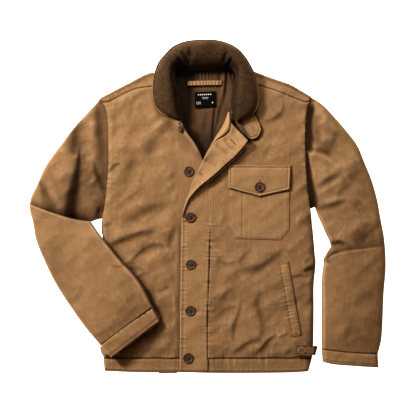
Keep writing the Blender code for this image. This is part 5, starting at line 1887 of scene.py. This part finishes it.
def turn_button():
    deselect()
    bpy.ops.mesh.primitive_cylinder_add(
        vertices=48, radius=BUTTON_RADIUS * MM, depth=BUTTON_DEPTH * MM, location=(0, 0, BUTTON_MIDDLE * MM)
    )
    made = bpy.context.active_object
    made.name = "button_form"
    bpy.ops.object.mode_set(mode="EDIT")
    bpy.ops.mesh.select_mode(type="FACE")
    bpy.ops.mesh.select_all(action="DESELECT")
    bpy.ops.object.mode_set(mode="OBJECT")
    top = max(made.data.polygons, key=lambda polygon: polygon.center.z * 1000 + len(polygon.vertices))
    top.select = True
    made.data.polygons.active = top.index
    bpy.ops.object.mode_set(mode="EDIT")
    for inward, upward in BUTTON_FACE:
        bpy.ops.mesh.inset(thickness=inward * MM)
        if upward:
            bpy.ops.transform.translate(value=(0, 0, upward * MM))
    bpy.ops.object.mode_set(mode="OBJECT")
    bevel = made.modifiers.new("round", "BEVEL")
    bevel.width = 0.35 * MM
    bevel.segments = 2
    bevel.limit_method = "ANGLE"
    bevel.angle_limit = math.radians(22)
    bpy.ops.object.modifier_apply(modifier="round")
    for i in range(4):
        angle = math.radians(45 + 90 * i)
        deselect()
        spot = (math.cos(angle) * HOLE_OUT * MM, math.sin(angle) * HOLE_OUT * MM, BUTTON_MIDDLE * MM)
        bpy.ops.mesh.primitive_cylinder_add(
            vertices=12, radius=HOLE_RADIUS * MM, depth=9 * MM, location=spot
        )
        drill = bpy.context.active_object
        cut = made.modifiers.new("hole", "BOOLEAN")
        cut.object = drill
        cut.solver = "EXACT"
        select_only(made)
        bpy.ops.object.modifier_apply(modifier="hole")
        bpy.data.objects.remove(drill)
    bpy.ops.object.shade_smooth_by_angle(angle=math.radians(32))
    return made


form = turn_button()
for name, x, y, height, tilt, turn in BUTTONS:
    mesh = form.data.copy()
    mesh.materials.clear()
    mesh.materials.append(horn)
    turned = Matrix.Rotation(math.radians(tilt), 4, "Y") @ Matrix.Rotation(math.radians(turn), 4, "Z")
    mesh.transform(Matrix.Translation(Vector(in_world((x, y, height)).tolist())) @ turned)
    button = bpy.data.objects.new(name + "_turned", mesh)
    bpy.context.scene.collection.objects.link(button)
    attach(button, "root")
    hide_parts(name)
bpy.data.objects.remove(form)
print("buttons:", len(BUTTONS))

# %% [markdown]
# ## Stitching
# A stitch is a short strand that dips into the cloth at both ends. Each seam is walked by its
# length, a strand goes down every three millimetres, and the height comes from the same function
# that shaped the panel below. A whole group of seams is one mesh.

# %% Stitches


def add_strand(store, start, end, radius, flat=1.0):
    """A closed five-sided strand, thick in the middle and sunk at both ends."""
    along = end - start
    size = np.linalg.norm(along)
    if size < 1e-6:
        return
    along = along / size
    side = np.cross(along, (0, 0, 1.0))
    side = side / max(np.linalg.norm(side), 1e-9)
    up = np.cross(side, along) * flat
    base = len(store["points"])
    store["points"].append(start - up * radius * 0.9)
    for share, thick in ((0.2, 0.85), (0.8, 0.85)):
        for k in range(5):
            angle = math.tau * k / 5
            store["points"].append(
                start + along * size * share
                + (side * math.cos(angle) + up * math.sin(angle)) * radius * thick
            )
    store["points"].append(end - up * radius * 0.9)
    for k in range(5):
        after = (k + 1) % 5
        store["faces"].append((base, base + 1 + k, base + 1 + after))
        store["faces"].append((base + 1 + k, base + 6 + k, base + 6 + after, base + 1 + after))
        store["faces"].append((base + 11, base + 6 + after, base + 6 + k))


def sew(store, rows, top, pitch=3.2, radius=0.48, raise_by=0.1, eased=True, length=0.72, flat=1.0):
    line = rows if isinstance(rows, Line) else Line(rows, eased)
    count = max(int(line.length / pitch), 1)
    starts = line.at(np.arange(count) * pitch / line.length)
    ends = line.at((np.arange(count) + length) * pitch / line.length)
    low, high = top(starts[:, 0], starts[:, 1]), top(ends[:, 0], ends[:, 1])
    for i in range(count):
        add_strand(
            store, np.array([*starts[i], low[i] + raise_by]), np.array([*ends[i], high[i] + raise_by]),
            radius, flat,
        )


def finish_strands(name, store, finish):
    mesh = bpy.data.meshes.new(name)
    mesh.from_pydata(in_world(np.array(store["points"])).tolist(), [], store["faces"])
    mesh.update()
    strands = bpy.data.objects.new(name, mesh)
    bpy.context.scene.collection.objects.link(strands)
    select_only(strands)
    bpy.ops.object.mode_set(mode="EDIT")
    bpy.ops.mesh.select_all(action="SELECT")
    bpy.ops.mesh.normals_make_consistent(inside=False)
    bpy.ops.object.mode_set(mode="OBJECT")
    strands.select_set(False)
    mesh.materials.append(finish)
    mesh.shade_smooth()
    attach(strands, "root")
    print(name, len(mesh.polygons), "faces")


def offset(line, by):
    """The same line moved sideways, to its left for a positive amount."""
    points = line.points
    step = np.gradient(points, axis=0)
    step = step / np.maximum(np.linalg.norm(step, axis=1)[:, None], 1e-9)
    return Line(points + np.column_stack([-step[:, 1], step[:, 0]]) * by, False)


body_thread = {"points": [], "faces": []}
tab_thread = {"points": [], "faces": []}
right_skin = sunk([armhole_right, hem_seam, shoulder_right], right_top)
left_skin = sunk([armhole_left, hem_seam, shoulder_left], left_top)
sew(body_thread, [(x + 9, y) for x, y in ARMHOLE_RIGHT[1:-2]], right_skin)
sew(body_thread, [(x - 9, y) for x, y in ARMHOLE_LEFT[1:-2]], left_skin)
sew(body_thread, [(5.5, -345), (4.8, -253), (9.2, -135), (11.5, -17), (9.4, 40)], left_skin)
sew(body_thread, placket_stitch, placket_top)
sew(
    body_thread, hem_stitch,
    lambda x, y: np.where(
        x < 0, hem_height(hem_right_top, HEM_SEEDS[0])(x, y), hem_height(hem_left_top, HEM_SEEDS[1])(x, y)
    ),
)
sew(body_thread, offset(pocket_edge, 3), pocket_top, eased=False)
sew(body_thread, offset(flap_edge, 3), flap_top, eased=False)
sew(body_thread, offset(flap_edge, 7), flap_top, eased=False)
sew(body_thread, pen_line, pocket_top)
sew(body_thread, turn_stitch, turned_top)
sew(body_thread, [(x, y + 3.5) for x, y in SHOULDER_SEAM_RIGHT[1:-1]], shoulder_top)
sew(body_thread, [(x, y + 3.5) for x, y in SHOULDER_SEAM_LEFT[1:-1]], shoulder_top)
sew(tab_thread, tab_box, tab_left_top, radius=0.4)
sew(
    tab_thread, [(229, -339.5), (247, -339.6), (252, -325), (229, -321.5)], tab_left_top, radius=0.4,
    eased=False,
)
for inset in (2.5, 6.5):
    sew(body_thread, offset(throat_edge, inset), throat_top)
sew(body_thread, offset(welt_left_edge, -2.6), welt_left_top, eased=False)
sew(body_thread, offset(Line([(28, 76.6), (52.7, 100), (79, 127), (92, 146)]), 5), turned_top)
sew(body_thread, [(57, 186), (70, 172), (90, 151)], turned_top)
finish_strands("stitching_body", body_thread, thread)
finish_strands("stitching_waist_tab", tab_thread, dark_thread_and_slit_shade)

cuff_thread = {"points": [], "faces": []}


def cuff_surface(stitch, seam_rows, low_at, seed):
    """Height on top of a cuff, for its row of stitching."""
    seam = Line(seam_rows)

    def height(x, y):
        ripple = puckers(seam, x, y, 11, 10, 1.0, seed) + puckers(stitch, x, y, 9, 7, 0.6, seed + 1)
        edge = np.minimum(
            np.hypot(x - stitch.points[0, 0], y - stitch.points[0, 1]),
            np.hypot(x - stitch.points[-1, 0], y - stitch.points[-1, 1]),
        )
        arch = 4.0 * (1 - (2 * edge / stitch.length - 1) ** 2) * 0.3 - 1.0
        crown = CUFF_TOP - 0.9 + ripple + 0.9 * cloth_unevenness(x, y, seed + 2) - 0.9 + arch
        return low_at(x, y) + UNDER_LIFT + (crown - UNDER_LIFT) * quarter(edge, 16)

    return height


sew(
    cuff_thread, left_cuff_stitch,
    cuff_surface(left_cuff_stitch, [(393.3, -341.1), (330, -336.6), (263.6, -328.6)], on_floor, 71),
    raise_by=0.9,
)
sew(
    cuff_thread, right_cuff_stitch,
    cuff_surface(right_cuff_stitch, [(-243.6, -318.9), (-185, -274), (-125.0, -230.8)], under_forearm, 74),
    raise_by=0.9,
)
finish_strands("stitching_cuffs", cuff_thread, thread)

# %% [markdown]
# ## Buttonholes, bar tacks and the label's woven lines
# A buttonhole is a slit between two rails of close stitches, with a bar across its end; the slit
# itself is a dark strand, painted shade in the cut. They sit where each button needs one: across
# the placket, upright on the flap, slanting on the folded top and the throat tab. The locker loop
# is held by short upright bars. The label carries plain woven dashes.

# %% Buttonholes
hole_thread = {"points": [], "faces": []}
slit_shade_and_dark_stitches = {"points": [], "faces": []}


def buttonhole(start, end, top, half=1.5):
    start, end = np.array(start, float), np.array(end, float)
    run = end - start
    size = float(np.linalg.norm(run))
    run = run / size
    side = np.array((-run[1], run[0]))
    for i in range(int(size / 0.8)):
        for way in (-1, 1):
            near = start + run * (i + 0.5) * 0.8 + side * way * 0.35
            far = near + side * way * half
            low = float(top(np.array([near[0]]), np.array([near[1]]))[0])
            add_strand(hole_thread, np.array([*near, low + 0.35]), np.array([*far, low + 0.3]), 0.42)
    for place in (start, end):
        low = float(top(np.array([place[0]]), np.array([place[1]]))[0])
        add_strand(
            hole_thread, np.array([*(place - side * half * 1.3), low + 0.4]),
            np.array([*(place + side * half * 1.3), low + 0.4]), 0.6,
        )
    low = float(top(np.array([start[0]]), np.array([start[1]]))[0])
    high = float(top(np.array([end[0]]), np.array([end[1]]))[0])
    # The slit is a dark strand: painted shade in the cut.
    add_strand(slit_shade_and_dark_stitches, np.array([*start, low + 0.5]), np.array([*end, high + 0.5]), 0.5)


for bx, by in button_spots[1:]:
    buttonhole((bx + 1, by), (bx + 17.5, by + 0.8), placket_top)
buttonhole((120.5, 45), (120.5, 61.5), flap_top)
buttonhole((51, 156), (66, 140), turned_top)
buttonhole((-19, 77), (-11, 70.5), turned_top)
buttonhole((99.8, 187), (108.6, 170), throat_top)
for bar in LOOP_BARS:
    low = float(loop_top(np.array([bar]), np.array([282.0]))[0])
    add_strand(
        slit_shade_and_dark_stitches, np.array([bar, 278.6, low + 0.35]), np.array([bar + 0.2, 287.0, low + 0.35]), 0.5
    )
for name, x, y, height, tilt, turn in BUTTONS:
    spin = Matrix.Rotation(math.radians(tilt), 3, "Y") @ Matrix.Rotation(math.radians(turn), 3, "Z")
    for way in (-1, 1):
        ends = [spin @ Vector((2.3 * along, 2.3 * way, 2.75)) for along in (-1, 1)]
        add_strand(
            slit_shade_and_dark_stitches, np.array([x, y, height]) + np.array(ends[0]),
            np.array([x, y, height]) + np.array(ends[1]), 0.62,
        )
finish_strands("buttonholes", hole_thread, thread)
finish_strands("tacks_and_painted_slit_shade", slit_shade_and_dark_stitches, dark_thread_and_slit_shade)

label_thread = {"points": [], "faces": []}


def label_at(x, y):
    return 10.75 + 0 * x


for start, end, pitch, radius in (
    ((-21, 255.6), (13.5, 257.0), 4.6, 2.3),
    ((-12, 249.6), (5, 250.2), 2.6, 0.9),
    ((-10, 246.4), (4, 247.0), 2.6, 0.9),
    ((-24.5, 238.4), (-13, 238.9), 3.6, 1.3),
    ((-24.5, 234.6), (-13, 235.1), 3.6, 1.3),
    ((11, 237.6), (15.4, 237.8), 4.4, 2.9),
):
    sew(label_thread, [start, end], label_at, pitch=pitch, radius=radius, length=0.86, flat=0.2)
finish_strands("label_woven_dashes", label_thread, label_pale)

# %% [markdown]
# ## Dressing the frame
# Each shell takes the place of the solid it was cut from. Its faces and the area of one face are
# printed beside the area it was cut to.

# %% Replacing the solids
SHEETS = [  # node, slot, flat size in metres, cut area in square metres, what it lies on
    ("front_right", "canvas", (0.245, 0.64), 0.137, ["back"]),
    ("front_left", "canvas", (0.262, 0.645), 0.143, ["back", "front_right"]),
    ("back", "canvas", (0.52, 0.79), 0.334, ["floor"]),
    ("hem_front_right", "canvas", (0.232, 0.036), 0.0079, ["hem_back"]),
    ("hem_front_left", "canvas", (0.242, 0.037), 0.0085, ["hem_back"]),
    ("hem_back", "canvas", (0.482, 0.04), 0.0184, ["floor"]),
    ("placket", "canvas_trim", (0.072, 0.507), 0.0292, ["front_right"]),
    ("placket_turnback", "canvas_trim", (0.06, 0.255), 0.0076, ["front_left", "placket"]),
    ("facing_turnback", "canvas_trim", (0.02, 0.095), 0.001, ["front_left"]),
    ("left_sleeve", "canvas", (0.33, 0.62), 0.154, ["floor"]),
    ("right_sleeve", "canvas", (0.33, 0.66), 0.16, ["floor", "front_right"]),
    ("left_cuff", "canvas", (0.29, 0.034), 0.0094, ["floor"]),
    ("right_cuff", "canvas", (0.32, 0.036), 0.0108, ["front_right"]),
    ("collar", "wool", (0.52, 0.09), 0.036, ["under_collar"]),
    ("under_collar", "canvas", (0.53, 0.095), 0.038, ["back"]),
    ("back_lining", "lining", (0.14, 0.225), 0.0255, ["back"]),
    ("locker_loop", "canvas_trim", (0.078, 0.0108), 0.00082, ["back_lining"]),
    ("label", "label_weave", (0.049, 0.0365), 0.00174, ["back_lining"]),
    ("chest_pocket", "canvas", (0.142, 0.14), 0.0193, ["front_left"]),
    ("pocket_flap", "canvas_trim", (0.144, 0.072), 0.0091, ["chest_pocket"]),
    ("welt_left", "canvas_trim", (0.0215, 0.1705), 0.0036, ["front_left"]),
    ("welt_right", "canvas_trim", (0.0215, 0.157), 0.00335, ["front_right"]),
    ("waist_tab_left", "canvas_trim", (0.05, 0.024), 0.00115, ["front_left"]),
    ("waist_tab_right", "canvas_trim", (0.044, 0.0225), 0.00092, ["front_right"]),
    ("throat_tab", "canvas_trim", (0.042, 0.066), 0.0023, ["front_left"]),
]
total = 0
for node, slot_name, flat, cut, below in SHEETS:
    piece = pieces[node]
    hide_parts(node)
    total += len(piece.data.polygons) * 2
    measured = sum(polygon.area for polygon in piece.data.polygons) / 2
    print(
        f"{piece.name:26s} faces {len(piece.data.polygons):6d} one face {measured:.5f} m2, cut {cut:.5f} m2"
    )
    carriers = [name if name == "floor" else name + "_cloth" for name in below]
print("triangles in the cloth:", total)

# %% Finish
bpy.context.view_layer.update()
